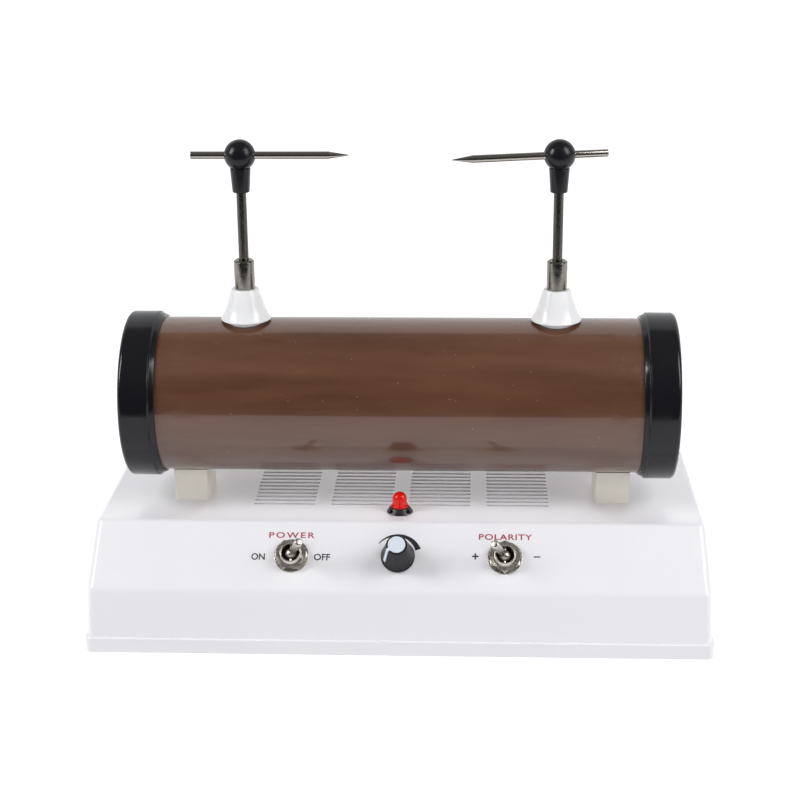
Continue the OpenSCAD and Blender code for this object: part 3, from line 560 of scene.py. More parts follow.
ivory_nylon, tree, surface, spot = finish("milled_ivory_nylon", "EFE9DD", 0.34, IOR=1.53,
                                          Subsurface_Weight=0.12, Subsurface_Scale=0.002)
upright = put(tree, "ShaderNodeMapping", {"Scale": (1, 1, 0.04)}, [("Vector", spot, "Object")])
lines = put(tree, "ShaderNodeTexNoise", {"Scale": every(0.5), "Detail": 3.0},
            [("Vector", upright, "Vector")])
cloudy = put(tree, "ShaderNodeTexNoise", {"Scale": every(9), "Detail": 2.0},
             [("Vector", spot, "Object")])
vary(tree, surface, cloudy, tones=("EFE9DD", "F5F0E6"))
vary(tree, surface, lines, relief=(0.25, 0.00006))


def softened(thing, radius, angle):
    """Breaks the edges where faces meet at more than an angle in degrees."""
    soften = thing.modifiers.new("soften", "BEVEL")
    soften.width, soften.segments = radius * mm, 2
    soften.limit_method, soften.angle_limit = "ANGLE", math.radians(angle)
    return settled(thing)


half_d = saddle_d / 2
seat_flat = half_d - seat_lip
seat_top = axis_z - math.sqrt(tube_seat_r ** 2 - seat_flat ** 2)
for side, x in (("left", -saddle_x), ("right", saddle_x)):
    outline = [(-half_d, plate_z), (half_d, plate_z), (half_d, seat_top)]
    for k in range(seat_steps + 1):
        y = seat_flat - 2 * seat_flat * k / seat_steps
        outline.append((y, axis_z - math.sqrt(tube_seat_r ** 2 - y ** 2)))
    outline.append((-half_d, seat_top))
    block = prism(outline, lambda end, y, z: (x + end * saddle_w / 2, y, z))
    tall_edges = [e for e in block.edges if abs(e.verts[0].co.z - e.verts[1].co.z) > 8]
    bmesh.ops.bevel(block, geom=tall_edges, offset=1.2, segments=4, profile=0.5, affect="EDGES")
    block = smooth(shaped(side + "_saddle_block", block, Matrix.Scale(mm, 4)), 35)
    block = softened(block, 0.25, 40)
    fit(smooth(block, 40, weighted=True), ivory_nylon, "stand", side + "_saddle",
        slot="ivory_block")

# ------------------------------------------------------------------ coil tube
# A wound paper tube with several coats of brown insulating varnish. The varnish is glossy,
# holds a few specks of dust, and has crinkled near both ends where it was dipped.

tube_half = coil_half - cap_floor - 0.1
along_x = at(0, 0, axis_z, (math.pi / 2, "Y"))
tube = turned("case_tube", [(tube_r - tube_wall, -tube_half), (tube_r, -tube_half, 0.4),
                            (tube_r, tube_half, 0.4), (tube_r - tube_wall, tube_half)],
              along_x, 160)

brown_varnish, tree, surface, spot = finish(
    "brown_insulating_varnish", "5E3924", 0.34, IOR=1.5,
    Coat_Weight=0.8, Coat_Roughness=0.07, Coat_IOR=1.5)
stretched = put(tree, "ShaderNodeMapping", {"Scale": (0.16, 1, 1)}, [("Vector", spot, "Object")])
cloud = put(tree, "ShaderNodeTexNoise", {"Scale": every(14), "Detail": 5.0, "Roughness": 0.6},
            [("Vector", stretched, "Vector")])
depth = put(tree, "ShaderNodeValToRGB", {}, [("Fac", cloud, "Fac")])
for stop, position, colour in ((0, 0.3, "55311D"), (1, 0.72, "69442D")):
    depth.color_ramp.elements[stop].position = position
    depth.color_ramp.elements[stop].color = linear(colour)
# dust: a light speck in about one cell in eight, half a millimetre across
cells = put(tree, "ShaderNodeTexVoronoi", {"Scale": every(3.1)}, [("Vector", spot, "Object")])
near = put(tree, "ShaderNodeMath", {"operation": "LESS_THAN", 1: 0.075}, [(0, cells, "Distance")])
parts_of = put(tree, "ShaderNodeSeparateColor", {}, [("Color", cells, "Color")])
chosen = put(tree, "ShaderNodeMath", {"operation": "GREATER_THAN", 1: 0.88},
             [(0, parts_of, "Red")])
dust = put(tree, "ShaderNodeMath", {"operation": "MULTIPLY"},
           [(0, near, "Value"), (1, chosen, "Value")])
dusted = put(tree, "ShaderNodeMix", {"data_type": "RGBA", 7: linear("A98F7C")},
             [("Factor", dust, "Value"), (6, depth, "Color")])
tree.links.new(dusted.outputs[2], surface.inputs["Base Color"])
# crinkles: only towards the ends, in patches, about 1.3 mm apart
place = put(tree, "ShaderNodeSeparateXYZ", {}, [("Vector", spot, "Object")])
from_middle = put(tree, "ShaderNodeMath", {"operation": "ABSOLUTE"}, [(0, place, "X")])
near_end = put(tree, "ShaderNodeMapRange",
               {"interpolation_type": "SMOOTHSTEP", "From Min": 0.101, "From Max": 0.128},
               [("Value", from_middle, "Value")])
patch = put(tree, "ShaderNodeTexNoise", {"Scale": every(11), "Detail": 1.0},
            [("Vector", spot, "Object")])
patchy = put(tree, "ShaderNodeMapRange", {"From Min": 0.4, "From Max": 0.62},
             [("Value", patch, "Fac")])
crinkled = put(tree, "ShaderNodeMath", {"operation": "MULTIPLY"},
               [(0, near_end, "Result"), (1, patchy, "Result")])
crinkle = put(tree, "ShaderNodeTexNoise", {"Scale": every(1.3), "Detail": 3.0, "Distortion": 1.6},
              [("Vector", spot, "Object")])
lumps = put(tree, "ShaderNodeMath", {"operation": "MULTIPLY"},
            [(0, crinkle, "Fac"), (1, crinkled, "Value")])
crinkles = vary(tree, surface, lumps, "Value", relief=(0.5, 0.00035))
run = put(tree, "ShaderNodeTexNoise", {"Scale": every(5), "Detail": 2.0},
          [("Vector", stretched, "Vector")])
flowed = vary(tree, surface, run, relief=(0.12, 0.0002), under=crinkles)
tree.links.new(flowed.outputs["Normal"], surface.inputs["Coat Normal"])
fit(smooth(tube), brown_varnish, "stand", "coil_tube", slot="brown_tube")

# ------------------------------------------------------------------ end caps
# Two caps turned from black phenolic, pushed over the tube. The outer edge is rounded, and
# a bevelled lip closes on the tube. Fine turning rings catch the light on the flat ends.

cap_profile = [
    (0, 0), (cap_r, 0, 2.4), (cap_r, cap_long - 3.4, 0.35), (cap_r - 0.9, cap_long - 2.5, 0.5),
    (tube_r + 1.2, cap_long, 0.4), (tube_seat_r, cap_long), (tube_seat_r, cap_floor),
    (0, cap_floor)]

black_phenolic, tree, surface, spot = finish("turned_black_phenolic", "17171B", 0.16, IOR=1.5,
                                             Specular_IOR_Level=0.33)
handled = put(tree, "ShaderNodeTexNoise", {"Scale": every(17), "Detail": 5.0},
              [("Vector", spot, "Object")])
vary(tree, surface, handled, rough=(0.1, 0.24), between=(0.3, 0.7))
centred = put(tree, "ShaderNodeMapping",
              {"Location": (0, 0, -axis_z * mm), "Scale": (0, 1, 1)}, [("Vector", spot, "Object")])
ring_lines = put(tree, "ShaderNodeTexWave",
                 {"wave_type": "RINGS", "rings_direction": "SPHERICAL", "Scale": every(3),
                  "Distortion": 0.4, "Detail": 1.0}, [("Vector", centred, "Vector")])
cut_rings = vary(tree, surface, ring_lines, relief=(0.1, 0.00008))
peel = put(tree, "ShaderNodeTexNoise", {"Scale": every(1.6), "Detail": 2.0},
           [("Vector", spot, "Object")])
vary(tree, surface, peel, relief=(0.07, 0.0001), under=cut_rings)
for side, sign in (("left", -1), ("right", 1)):
    end_plane = at(sign * coil_half, 0, axis_z, (-sign * math.pi / 2, "Y"))
    cap = turned(side + "_end_cup", cap_profile, end_plane, 160)
    fit(smooth(cap), black_phenolic, "stand", side + "_end_cap", slot="black_cap")

# ------------------------------------------------------------------ insulators
# White moulded cones that lift the high voltage off the tube: a flared skirt with a thin
# rounded rim that stands clear, on a narrower hub that is shaped to the tube's round.

post_x = 85.6
stem_r = 2.7
cone_bore = stem_r + 0.1
cone_top = 186.9
cone_foot = 147.2
rim_foot = axis_z + tube_r + 0.9
cone_rim, cone_hub = 13.9, 10.7
cone_flare = ((8.1, 2.0), (8.75, 4.0), (9.5, 6.4), (10.25, 9.0), (11.1, 11.6), (12.1, 13.8))
cone_profile = (
    [(cone_bore, cone_foot), (cone_bore, cone_top), (7.5, cone_top, 0.9)]
    + [(r, cone_top - down) for r, down in cone_flare]
    + [(13.1, rim_foot + 1.5), (cone_rim - 0.15, rim_foot + 0.8, 0.35), (cone_rim, rim_foot, 0.35),
       (cone_hub, rim_foot + 0.1, 0.3), (cone_hub, cone_foot)])


def mottled(name, colour, roughness, size, detail, tones=None, rough=None, between=(0, 1),
            relief=None, **shader):
    """A material that clouds of a size in mm change as vary() says."""
    material, tree, surface, spot = finish(name, colour, roughness, **shader)
    clouds = put(tree, "ShaderNodeTexNoise", {"Scale": every(size), "Detail": detail},
                 [("Vector", spot, "Object")])
    vary(tree, surface, clouds, "Fac", tones, rough, between, relief)
    return material


white_nylon = mottled("moulded_white_nylon", "F0F0F1", 0.22, 6, 2.0, rough=(0.16, 0.3),
                      relief=(0.08, 0.0002), IOR=1.53, Subsurface_Weight=0.1,
                      Subsurface_Scale=0.002)
for side, sign in (("left", -1), ("right", 1)):
    cone = turned(side + "_post_cone", cone_profile, at(sign * post_x, 0, 0), 96)
    half_turn = Matrix.Rotation(math.pi if sign < 0 else 0, 4, "Y")
    bed = turned("bed", [(0, 40), (tube_seat_r, 40), (tube_seat_r, 130), (0, 130)],
                 along_x @ half_turn, 192)
    fit(smooth(carve(cone, [bed]), 30), white_nylon, "stand", side + "_insulator",
        slot="white_insulator")

# ------------------------------------------------------------------ collars and stems
# Nickel plated brass collars with a bright chamfer, screwed down on the cones, and the
# steel stems that rise from them. The stems were sawn from drawn bar and hardly polished.

collar_top = 203.1
collar_r, collar_edge = 5.6, 0.9
ball_z = 260.7
neck_drop = 20.0
rod_r = 2.1
stem_foot = 161.1
stem_neck = stem_r - 0.4
stem_step = ball_z - neck_drop - 0.4
stem_top = ball_z - rod_r - 1.4

nickelled_brass, tree, surface, spot = finish("nickel_plated_brass", "8A867F", 0.2, Metallic=1.0)
plating = put(tree, "ShaderNodeTexNoise", {"Scale": every(2.5), "Detail": 5.0},
              [("Vector", spot, "Object")])
vary(tree, surface, plating, rough=(0.12, 0.3), between=(0.3, 0.7))
flat_rings = put(tree, "ShaderNodeMapping", {"Scale": (0.02, 0.02, 1)},
                 [("Vector", spot, "Object")])
tool_rings = put(tree, "ShaderNodeTexNoise", {"Scale": every(0.25), "Detail": 2.0},
                 [("Vector", flat_rings, "Vector")])
vary(tree, surface, tool_rings, relief=(0.12, 0.00004))

drawn_steel, tree, surface, spot = finish("drawn_steel_bar", "8F8A83", 0.26, Metallic=1.0)
long_marks = put(tree, "ShaderNodeMapping", {"Scale": (1, 1, 0.07)}, [("Vector", spot, "Object")])
streaks = put(tree, "ShaderNodeTexNoise", {"Scale": every(0.8), "Detail": 4.0, "Roughness": 0.7},
              [("Vector", long_marks, "Vector")])
drawn = vary(tree, surface, streaks, tones=("34322F", "7A766F"), relief=(0.3, 0.00008))
blotch = put(tree, "ShaderNodeTexNoise", {"Scale": every(1.8), "Detail": 5.0, "Roughness": 0.75},
             [("Vector", spot, "Object")])
vary(tree, surface, blotch, rough=(0.2, 0.42), between=(0.35, 0.7), relief=(0.2, 0.00006),
     under=drawn)

for side, sign in (("left", -1), ("right", 1)):
    on_post = at(sign * post_x, 0, 0)
    collar = turned(side + "_post_collar", [
        (cone_bore, cone_top), (collar_r, cone_top, 0.3),
        (collar_r, collar_top - collar_edge, 0.15),
        (collar_r - collar_edge, collar_top, 0.15), (cone_bore, collar_top, 0.2)], on_post, 64)
    fit(smooth(collar), nickelled_brass, "stand", side + "_collar", slot="nickelled_brass")
    bar = turned(side + "_post_stem", [
        (0, stem_foot), (stem_r, stem_foot, 0.4), (stem_r, stem_step), (stem_neck, stem_step),
        (stem_neck, stem_top), (0, stem_top)], on_post, 48)
    fit(smooth(bar), drawn_steel, "stand", side + "_stem", slot="nickelled_brass")

# ------------------------------------------------------------------ ball heads
# Black phenolic balls moulded in one with a tapered neck. The ball is cross drilled for
# the needle rod, with a small countersink, and turns on the stem.

ball_r = 8.5
ball_steps = 26
swivel = math.radians(13)
neck_bore = stem_neck + 0.05
bore_top = -2.9
neck = [(neck_bore, -neck_drop), (4.65, -neck_drop, 0.5), (5.55, -7.1, 0.35), (4.95, -6.5)]
first = math.asin(5.2 / ball_r)
angles = [first + (math.pi - first) * k / ball_steps for k in range(ball_steps)]
ball_line = [(ball_r * math.sin(a), -ball_r * math.cos(a)) for a in angles] + [(0, ball_r)]
ball_profile = [(0, bore_top), (neck_bore, bore_top)] + neck + ball_line
bit_r, sink_r = rod_r + 0.05, rod_r + 0.6
bit_profile = [(0, -14), (sink_r, -14), (sink_r, -8.25), (bit_r, -7.85),
               (bit_r, 7.85), (sink_r, 8.25), (sink_r, 14), (0, 14)]

ball_black, tree, surface, spot = finish("moulded_black_phenolic", "16161B", 0.25, IOR=1.52,
                                         Specular_IOR_Level=0.3)
handled = put(tree, "ShaderNodeTexNoise", {"Scale": every(5), "Detail": 6.0},
              [("Vector", spot, "Object")])
vary(tree, surface, handled, rough=(0.18, 0.34), between=(0.3, 0.7))
peel = put(tree, "ShaderNodeTexNoise", {"Scale": every(0.9), "Detail": 2.0},
           [("Vector", spot, "Object")])
vary(tree, surface, peel, relief=(0.1, 0.00008))

for side, sign, turn in (("left", -1, 0.0), ("right", 1, swivel)):
    at_ball = at(sign * post_x, 0, ball_z, (turn, "Z"))
    ball = turned(side + "_ball", ball_profile, at_ball, 96)
    bit = turned("bit", bit_profile, at_ball @ Matrix.Rotation(math.pi / 2, 4, "Y"), 48)
    fit(smooth(carve(ball, [bit]), 30), ball_black, side + "_head", side + "_ball_head",
        slot="black_ball")

# ------------------------------------------------------------------ needle rods
# Bright steel rods that slide in the balls: one end cut square, the other ground to a
# point on a wheel, whose marks run round the cone.

rod_tail, rod_long, point_long = 26.6, 85.4, 11.0
point_foot = rod_long - point_long
bright_steel, tree, surface, spot = finish("ground_bright_steel", "B3AEA8", 0.17, Metallic=1.0)
marks = put(tree, "ShaderNodeMapping", {"Scale": (1, 0.06, 0.06)}, [("Vector", spot, "Object")])
grinding = put(tree, "ShaderNodeTexNoise", {"Scale": every(0.35), "Detail": 3.0},
               [("Vector", marks, "Vector")])
vary(tree, surface, grinding, rough=(0.1, 0.26), relief=(0.2, 0.00004))
rod_profile = [(0, 0), (rod_r, 0, 0.3), (rod_r, point_foot), (rod_r - 0.12, point_foot + 0.35),
               (0.28, rod_long - 0.35, 0.2), (0, rod_long)]
for side, sign, turn in (("left", -1, 0.0), ("right", 1, swivel)):
    lying = (at(sign * post_x, 0, ball_z, (turn, "Z"), (-sign * math.pi / 2, "Y"))
             @ Matrix.Translation((0, 0, -rod_tail)))
    rod = turned(side + "_rod", rod_profile, lying, 48)
    fit(smooth(rod), bright_steel, side + "_rod", side + "_needle_rod", slot="needle_steel")

# ------------------------------------------------------------------ toggle switches
# Two toggle switches. The threaded bushing of nickelled brass stands through the panel,
# held by a pressed washer and a hexagon nut; the moulded case with six tags is behind it.
# A pin across the mouth carries the turned lever, which snaps from one side to the other.

bushing_r, mouth_r, bushing_out, bushing_back = 6.0, 4.9, 6.4, -5.5
thread_pitch, thread_deep, thread_start, thread_turns, crest_half = 0.75, 0.36, 0.9, 6, 0.08
nut_across, nut_thick, nut_foot = 16.0, 2.6, 0.8
nut_corner = nut_across / math.sqrt(3)
washer_r, washer_bore = 9.5, bushing_r + 0.1
case_x, case_y, case_deep, tag_long = 14.0, 7.0, 17.0, 5.0
pin_up = 3.2
throw = math.radians(18)

bushing_profile = [(mouth_r, bushing_back), (bushing_r, bushing_back), (bushing_r, thread_start)]
for k in range(thread_turns):
    crest = thread_start + thread_pitch * (k + 1)
    bushing_profile += [(bushing_r - thread_deep, thread_start + thread_pitch * (k + 0.5)),
                        (bushing_r, crest - crest_half), (bushing_r, crest + crest_half)]
bushing_profile += [(bushing_r - 0.45, bushing_out, 0.2), (mouth_r, bushing_out, 0.35)]

nut_dome = [(0, 0), (nut_corner - 0.9, 0), (nut_corner + 0.4, 0.75),
            (nut_corner + 0.4, nut_thick - 0.75), (nut_corner - 0.9, nut_thick), (0, nut_thick)]
nut_bore = [(0, -1), (bushing_r + 0.05, -1), (bushing_r + 0.05, nut_thick - 0.4),
            (bushing_r + 0.8, nut_thick + 0.35), (0, nut_thick + 0.35)]

lever_ball, lever_tail, lever_foot, lever_tip, lever_long = 3.2, 1.2, 1.45, 2.3, 19.5
lever_steps = 18
lever_profile = [(0, -4.2), (lever_tail, -4.2, 0.3)]
low, high = math.asin(lever_tail / lever_ball), math.pi - math.asin(lever_foot / lever_ball)
for k in range(lever_steps + 1):
    a = low + (high - low) * k / lever_steps
    lever_profile.append((lever_ball * math.sin(a), -lever_ball * math.cos(a)))
lever_profile += [(1.62, 4.6), (1.95, 9.5), (lever_tip, lever_long - 2.2, 1.2),
                  (lever_tip, lever_long, 1.5), (0, lever_long)]

nickel_plate, tree, surface, spot = finish("bright_nickel_plate", "B5AFA8", 0.2, Metallic=1.0)
plating = put(tree, "ShaderNodeTexNoise", {"Scale": every(1.8), "Detail": 5.0},
              [("Vector", spot, "Object")])
vary(tree, surface, plating, tones=("C6BFB6", "DED9D2"), rough=(0.2, 0.4), between=(0.3, 0.7))
pits = put(tree, "ShaderNodeTexNoise", {"Scale": every(0.5), "Detail": 2.0},
           [("Vector", spot, "Object")])
vary(tree, surface, pits, relief=(0.1, 0.00005))

# the case is brown-black moulding powder: dull, with a faint grain of wood flour
case_moulding = mottled("brown_black_moulding", "2A2523", 0.42, 0.7, 4.0,
                        tones=("221E1D", "383130"), relief=(0.15, 0.0001))


def slab(name, low, high, soft, place):
    """A block between two corners in mm, with every edge softened, put where place says."""
    build = bmesh.new()
    bmesh.ops.create_cube(build, size=1)
    low, high = Vector(low), Vector(high)
    build.transform(Matrix.Translation((low + high) / 2) @ Matrix.Diagonal((*(high - low), 1)))
    if soft:
        bmesh.ops.bevel(build, geom=list(build.edges), offset=soft, segments=2, profile=0.5,
                        affect="EDGES")
    return shaped(name, build, place)


def joined(name, things):
    """Several loose things of one material as one piece."""
    build = bmesh.new()
    for thing in things:
        build.from_mesh(thing.data)
        bpy.data.objects.remove(thing)
    return shaped(name, build)


washers, nuts = [], []
for side, sign in (("left", -1), ("right", 1)):
    here = on_panel(sign * switch_x, panel_half)
    bushing = turned(side + "_bushing", bushing_profile, here, 72)
    fit(smooth(bushing, 24), nickel_plate, "stand", side + "_switch_body",
        slot="nickelled_steel")
    case_back = -skin - case_deep
    case = slab(side + "_switch_case", (-case_x, -case_y, case_back),
                (case_x, case_y, -skin - 0.1), 0.5, here)
    fit(smooth(case, 30, weighted=True), case_moulding, "stand", slot="switch_shell")
    tags = joined(side + "_switch_tags", [
        slab("tag", (x - 1.2, y - 0.4, case_back - tag_long), (x + 1.2, y + 0.4, case_back),
             0.15, here) for x in (-8, 0, 8) for y in (-3.5, 3.5)])
    fit(tags, nickel_plate, "stand", slot="nickelled_steel")
    washers.append(turned("washer", [
        (washer_bore, 0.1, 0.1), (washer_r, 0.1, 0.15), (washer_r, nut_foot, 0.25),
        (washer_bore, nut_foot, 0.1)], here, 72))
    up_panel = (here @ Matrix.Translation((0, 0, nut_foot))
                @ Matrix.Rotation(0 if sign < 0 else math.pi / 6, 4, "Z"))
    nut = bmesh.new()
    bmesh.ops.create_cone(nut, segments=6, radius1=nut_corner, radius2=nut_corner,
                          depth=nut_thick, cap_ends=True,
                          matrix=Matrix.Translation((0, 0, nut_thick / 2))
                          @ Matrix.Rotation(math.pi / 6, 4, "Z"))
    nut = shaped("nut", nut, up_panel)
    nut = carve(nut, [turned("dome", nut_dome, up_panel, 72)], "INTERSECT")
    nut = carve(nut, [turned("bore", nut_bore, up_panel, 72)])
    nuts.append(softened(nut, 0.14, 24))
    at_pin = here @ Matrix.Translation((0, 0, pin_up))
    lever = turned(side + "_switch_bat", lever_profile,
                   at_pin @ Matrix.Rotation(-sign * throw, 4, "Y"), 48)
    hole = turned("hole", [(0, -5), (0.85, -5), (0.85, 5), (0, 5)],
                  at_pin @ Matrix.Rotation(math.pi / 2, 4, "X"), 24)
    fit(smooth(carve(lever, [hole]), 40), nickel_plate, side + "_switch_lever",
        side + "_lever", slot="lever_chrome")
fit(smooth(joined("washer_pair", washers), 30), nickel_plate, "stand", "switch_washers",
    slot="nickelled_steel")
fit(smooth(joined("nut_pair", nuts), 22), nickel_plate, "stand", "switch_nuts",
    slot="nickelled_steel")

# ------------------------------------------------------------------ knob
# A black moulded knob with a short skirt and fine flutes that die out towards its top. It
# is pushed on the potentiometer's shaft and closed by a pale disc that carries the pointer.

knob_out, knob_tall, skirt_r, brow_r = 0.8, 19.1, 9.25, 5.7
shoulder = knob_tall - 0.8
bore_r, bore_foot, bore_end, hollow_r = 3.05, 6.4, 13.4, 6.5
disc_r = 4.65
well_r = disc_r + 0.12
flute_count, flute_r, flute_long, flute_foot = 36, 0.5, 11.5, 2.4
flute_lean = math.radians(10.6)


def knob_side(h):
    return skirt_r - 0.2 + (brow_r - skirt_r + 0.2) * (h - 2) / (knob_tall - 2.8)


on_knob = on_panel(0, panel_half)
knob_body = turned("knob_body", [
    (0, bore_end), (bore_r, bore_end), (bore_r, bore_foot), (hollow_r, bore_foot),
    (hollow_r, knob_out), (skirt_r, knob_out, 0.3), (skirt_r, 1.75, 0.15),
    (knob_side(2.2), 2.25, 0.15), (brow_r, shoulder, 0.5), (5.05, knob_tall, 0.25),
    (well_r, knob_tall - 0.05), (well_r, knob_tall - 1), (0, knob_tall - 1)], on_knob, 144)
flute_cutter = turned("flute_cutter", [(0, 0), (flute_r, 0), (flute_r, flute_long),
                                       (0, flute_long)], Matrix.Identity(4), 12)

flute_tree, asked = rule_tree("pieces_round_a_ring", Piece="Object", Count="Int",
                              Radius="Float", Height="Float", Lean="Float", Material="Material")
circle = put(flute_tree, "GeometryNodeMeshCircle", {}, [
    ("Vertices", asked, "Count"), ("Radius", asked, "Radius")])
which = put(flute_tree, "GeometryNodeInputIndex")
share = put(flute_tree, "ShaderNodeMath", {"operation": "DIVIDE"},
            [(0, which, "Index"), (1, asked, "Count")])
round_turn = put(flute_tree, "ShaderNodeMath", {"operation": "MULTIPLY", 1: math.tau},
                 [(0, share, "Value")])
facing = put(flute_tree, "ShaderNodeCombineXYZ", {}, [
    ("Y", asked, "Lean"), ("Z", round_turn, "Value")])
one_piece = put(flute_tree, "GeometryNodeObjectInfo", {}, [("Object", asked, "Piece")])
copies = put(flute_tree, "GeometryNodeInstanceOnPoints", {}, [
    ("Points", circle, "Mesh"), ("Instance", one_piece, "Geometry"),
    ("Rotation", facing, "Vector")])
lift = put(flute_tree, "ShaderNodeCombineXYZ", {}, [("Z", asked, "Height")])
moved = put(flute_tree, "GeometryNodeTransform", {}, [
    ("Geometry", copies, "Instances"), ("Translation", lift, "Vector")])
close_rule(flute_tree, asked, moved, "Geometry")

# the knob's plastic: satin, slightly greasy where fingers turn it
knob_plastic, tree, surface, spot = finish("satin_black_abs", "18181B", 0.38,
                                           Specular_IOR_Level=0.25)
touched = put(tree, "ShaderNodeTexNoise", {"Scale": every(4), "Detail": 5.0},
              [("Vector", spot, "Object")])
vary(tree, surface, touched, tones=("101013", "19191C"), rough=(0.26, 0.44), between=(0.3, 0.7))
sand = put(tree, "ShaderNodeTexNoise", {"Scale": every(0.35), "Detail": 2.0},
           [("Vector", spot, "Object")])
vary(tree, surface, sand, relief=(0.12, 0.00005))

flute_ring = by_rule("flute_ring", flute_tree, Piece=flute_cutter, Count=flute_count,
                     Radius=knob_side(flute_foot) + 0.22, Height=flute_foot,
                     Lean=-flute_lean, Material=knob_plastic)
flute_ring.data.transform(on_knob)
knob_body = carve(knob_body, [flute_ring])
fit(smooth(knob_body, 30), knob_plastic, "knob", "knob", slot="knob_black")

# the disc and pointer are one moulding in a pale bluish plastic, high gloss
pale_plastic = mottled("pale_polystyrene", "DDE6EF", 0.16, 3, 3.0, tones=("D8E2EC", "E3EAF1"),
                       relief=(0.08, 0.0001), IOR=1.58, Subsurface_Weight=0.1,
                       Subsurface_Scale=0.002)

pointer_angle, pointer_w, pointer_t = math.radians(213), 1.7, 0.3
pointer_foot = 0.32 * knob_tall
disc_foot, disc_top, disc_edge = knob_tall - 0.98, knob_tall + 0.25, disc_r - 0.9
pointer_line = [
    (disc_edge, knob_tall + 0.02), (knob_side(shoulder) - 0.7, knob_tall + 0.02),
    (knob_side(shoulder) + 0.02, shoulder), (knob_side(pointer_foot) - 0.15, pointer_foot),
    (knob_side(pointer_foot) + pointer_t, pointer_foot + 0.1),
    (knob_side(shoulder) + pointer_t, shoulder + 0.2),
    (knob_side(shoulder) - 0.5, knob_tall + pointer_t), (disc_edge, knob_tall + pointer_t)]
rib = shaped("rib", prism(pointer_line, lambda end, r, h: (r, end * pointer_w / 2, h)),
             on_knob @ Matrix.Rotation(pointer_angle, 4, "Z"))
disc = turned("knob_disc", [(0, disc_foot), (disc_r, disc_foot), (disc_r, disc_top, 0.2),
                            (0, disc_top)], on_knob, 96)
disc = carve(disc, [rib], "UNION")
fit(smooth(disc, 30, weighted=True), pale_plastic, "knob", "knob_cap", slot="knob_pale")

# ------------------------------------------------------------------ pilot lamp
# A red 8 mm lamp of cast epoxy: a clear-skinned dome on a low flange, its two leads behind
# the plate. The resin is dyed through, so its rim glows where light passes.

lamp_base = plate_z + 3.2
dome_r, dome_high, dome_steps = 4.0, 8.6, 14
lamp_foot, lamp_foot_r, lamp_flange_r = -6.7, 3.4, 4.8
lead_half, lead_x, lead_end = 0.3, 1.27, -18.7
under_lamp = at(0, lamp_y, lamp_base)
dome_line = []
for k in range(dome_steps):
    a = math.pi / 2 * k / dome_steps
    dome_line.append((dome_r * math.cos(a), dome_high - dome_r + dome_r * math.sin(a)))
dome = turned("lamp_dome", [
    (0, lamp_foot), (lamp_foot_r, lamp_foot), (lamp_foot_r, 0), (lamp_flange_r, 0, 0.2),
    (lamp_flange_r, 1, 0.25), (dome_r, 1.05, 0.15)] + dome_line + [(0, dome_high)],
    under_lamp, 72)
red_epoxy = mottled("cast_red_epoxy", "DE1C12", 0.16, 3.5, 3.0, tones=("DA1004", "EA1C0C"),
                    relief=(0.1, 0.0002), IOR=1.54, Subsurface_Weight=0.05,
                    Subsurface_Scale=0.002, Subsurface_Radius=(1.0, 0.12, 0.06),
                    Specular_IOR_Level=0.35)
fit(smooth(dome, 30), red_epoxy, "stand", "pilot_lamp", slot="lamp_red")
leads = joined("lamp_leads", [
    slab("lead", (x - lead_half, -lead_half, lead_end), (x + lead_half, lead_half, lamp_foot),
         0.05, under_lamp) for x in (-lead_x, lead_x)])
fit(leads, nickel_plate, "stand", slot="nickelled_steel")

# ------------------------------------------------------------------ lamp clip
# The black nylon clip that holds the lamp. Its sleeve is pressed through the plate, and
# four springy legs flare from the rim down on to the plate.

clip_bore, clip_high = 3.6, 3.1
clip = turned("clip_ring", [
    (clip_bore, -4.5), (5.1, -4.5, 0.3), (5.1, 0.4), (6.0, 0.1), (7.4, 0.1, 0.2),
    (5.75, 2.6, 0.3), (5.35, clip_high, 0.2), (clip_bore, clip_high)],
    at(0, lamp_y, plate_z), 72)
notches = [slab("notch", (4.9, -1.1, -0.9), (9.9, 1.1, 2.5), 0,
                at(0, lamp_y, plate_z, (math.radians(a), "Z"))) for a in (45, 135, 225, 315)]
clip_nylon = mottled("moulded_black_nylon", "222226", 0.36, 1.2, 4.0,
                     tones=("1C1C20", "2B2B2F"), rough=(0.26, 0.5))
fit(smooth(carve(clip, notches), 30), clip_nylon, "stand", "lamp_clip", slot="clip_black")

# ------------------------------------------------------------------ panel marks
# Screen printed marks on the panel, in black and dark red ink: a swelling arc over the
# knob that shows the way of the rising voltage, and plain words and signs at the switches.

black_ink = mottled("black_screen_ink", "1B1A1D", 0.5, 0.3, 3.0, tones=("141316", "2A282B"))
red_ink = mottled("dark_red_screen_ink", "A23549", 0.5, 0.3, 3.0, tones=("9B2F44", "B4485A"))

ink_low, ink_high = -0.02, 0.03
arc_steps, arc_r, arc_start, arc_end = 40, 13.3, 143, 22
arc = bmesh.new()
rows = []
for k in range(arc_steps + 1):
    a = math.radians(arc_start + (arc_end - arc_start) * k / arc_steps)
    inner = arc_r - (0.5 + 2.6 * (k / arc_steps) ** 1.15)
    section = ((arc_r, ink_low), (arc_r, ink_high), (inner, ink_high), (inner, ink_low))
    rows.append([arc.verts.new((r * math.cos(a), r * math.sin(a), z)) for r, z in section])
for one, two in zip(rows, rows[1:]):
    for k in range(4):
        n = (k + 1) % 4
        arc.faces.new((one[k], one[n], two[n], two[k]))
arc.faces.new(rows[0])
arc.faces.new(rows[-1][::-1])
bmesh.ops.recalc_face_normals(arc, faces=arc.faces)
fit(shaped("rising_arc", arc, on_knob), black_ink, "stand")


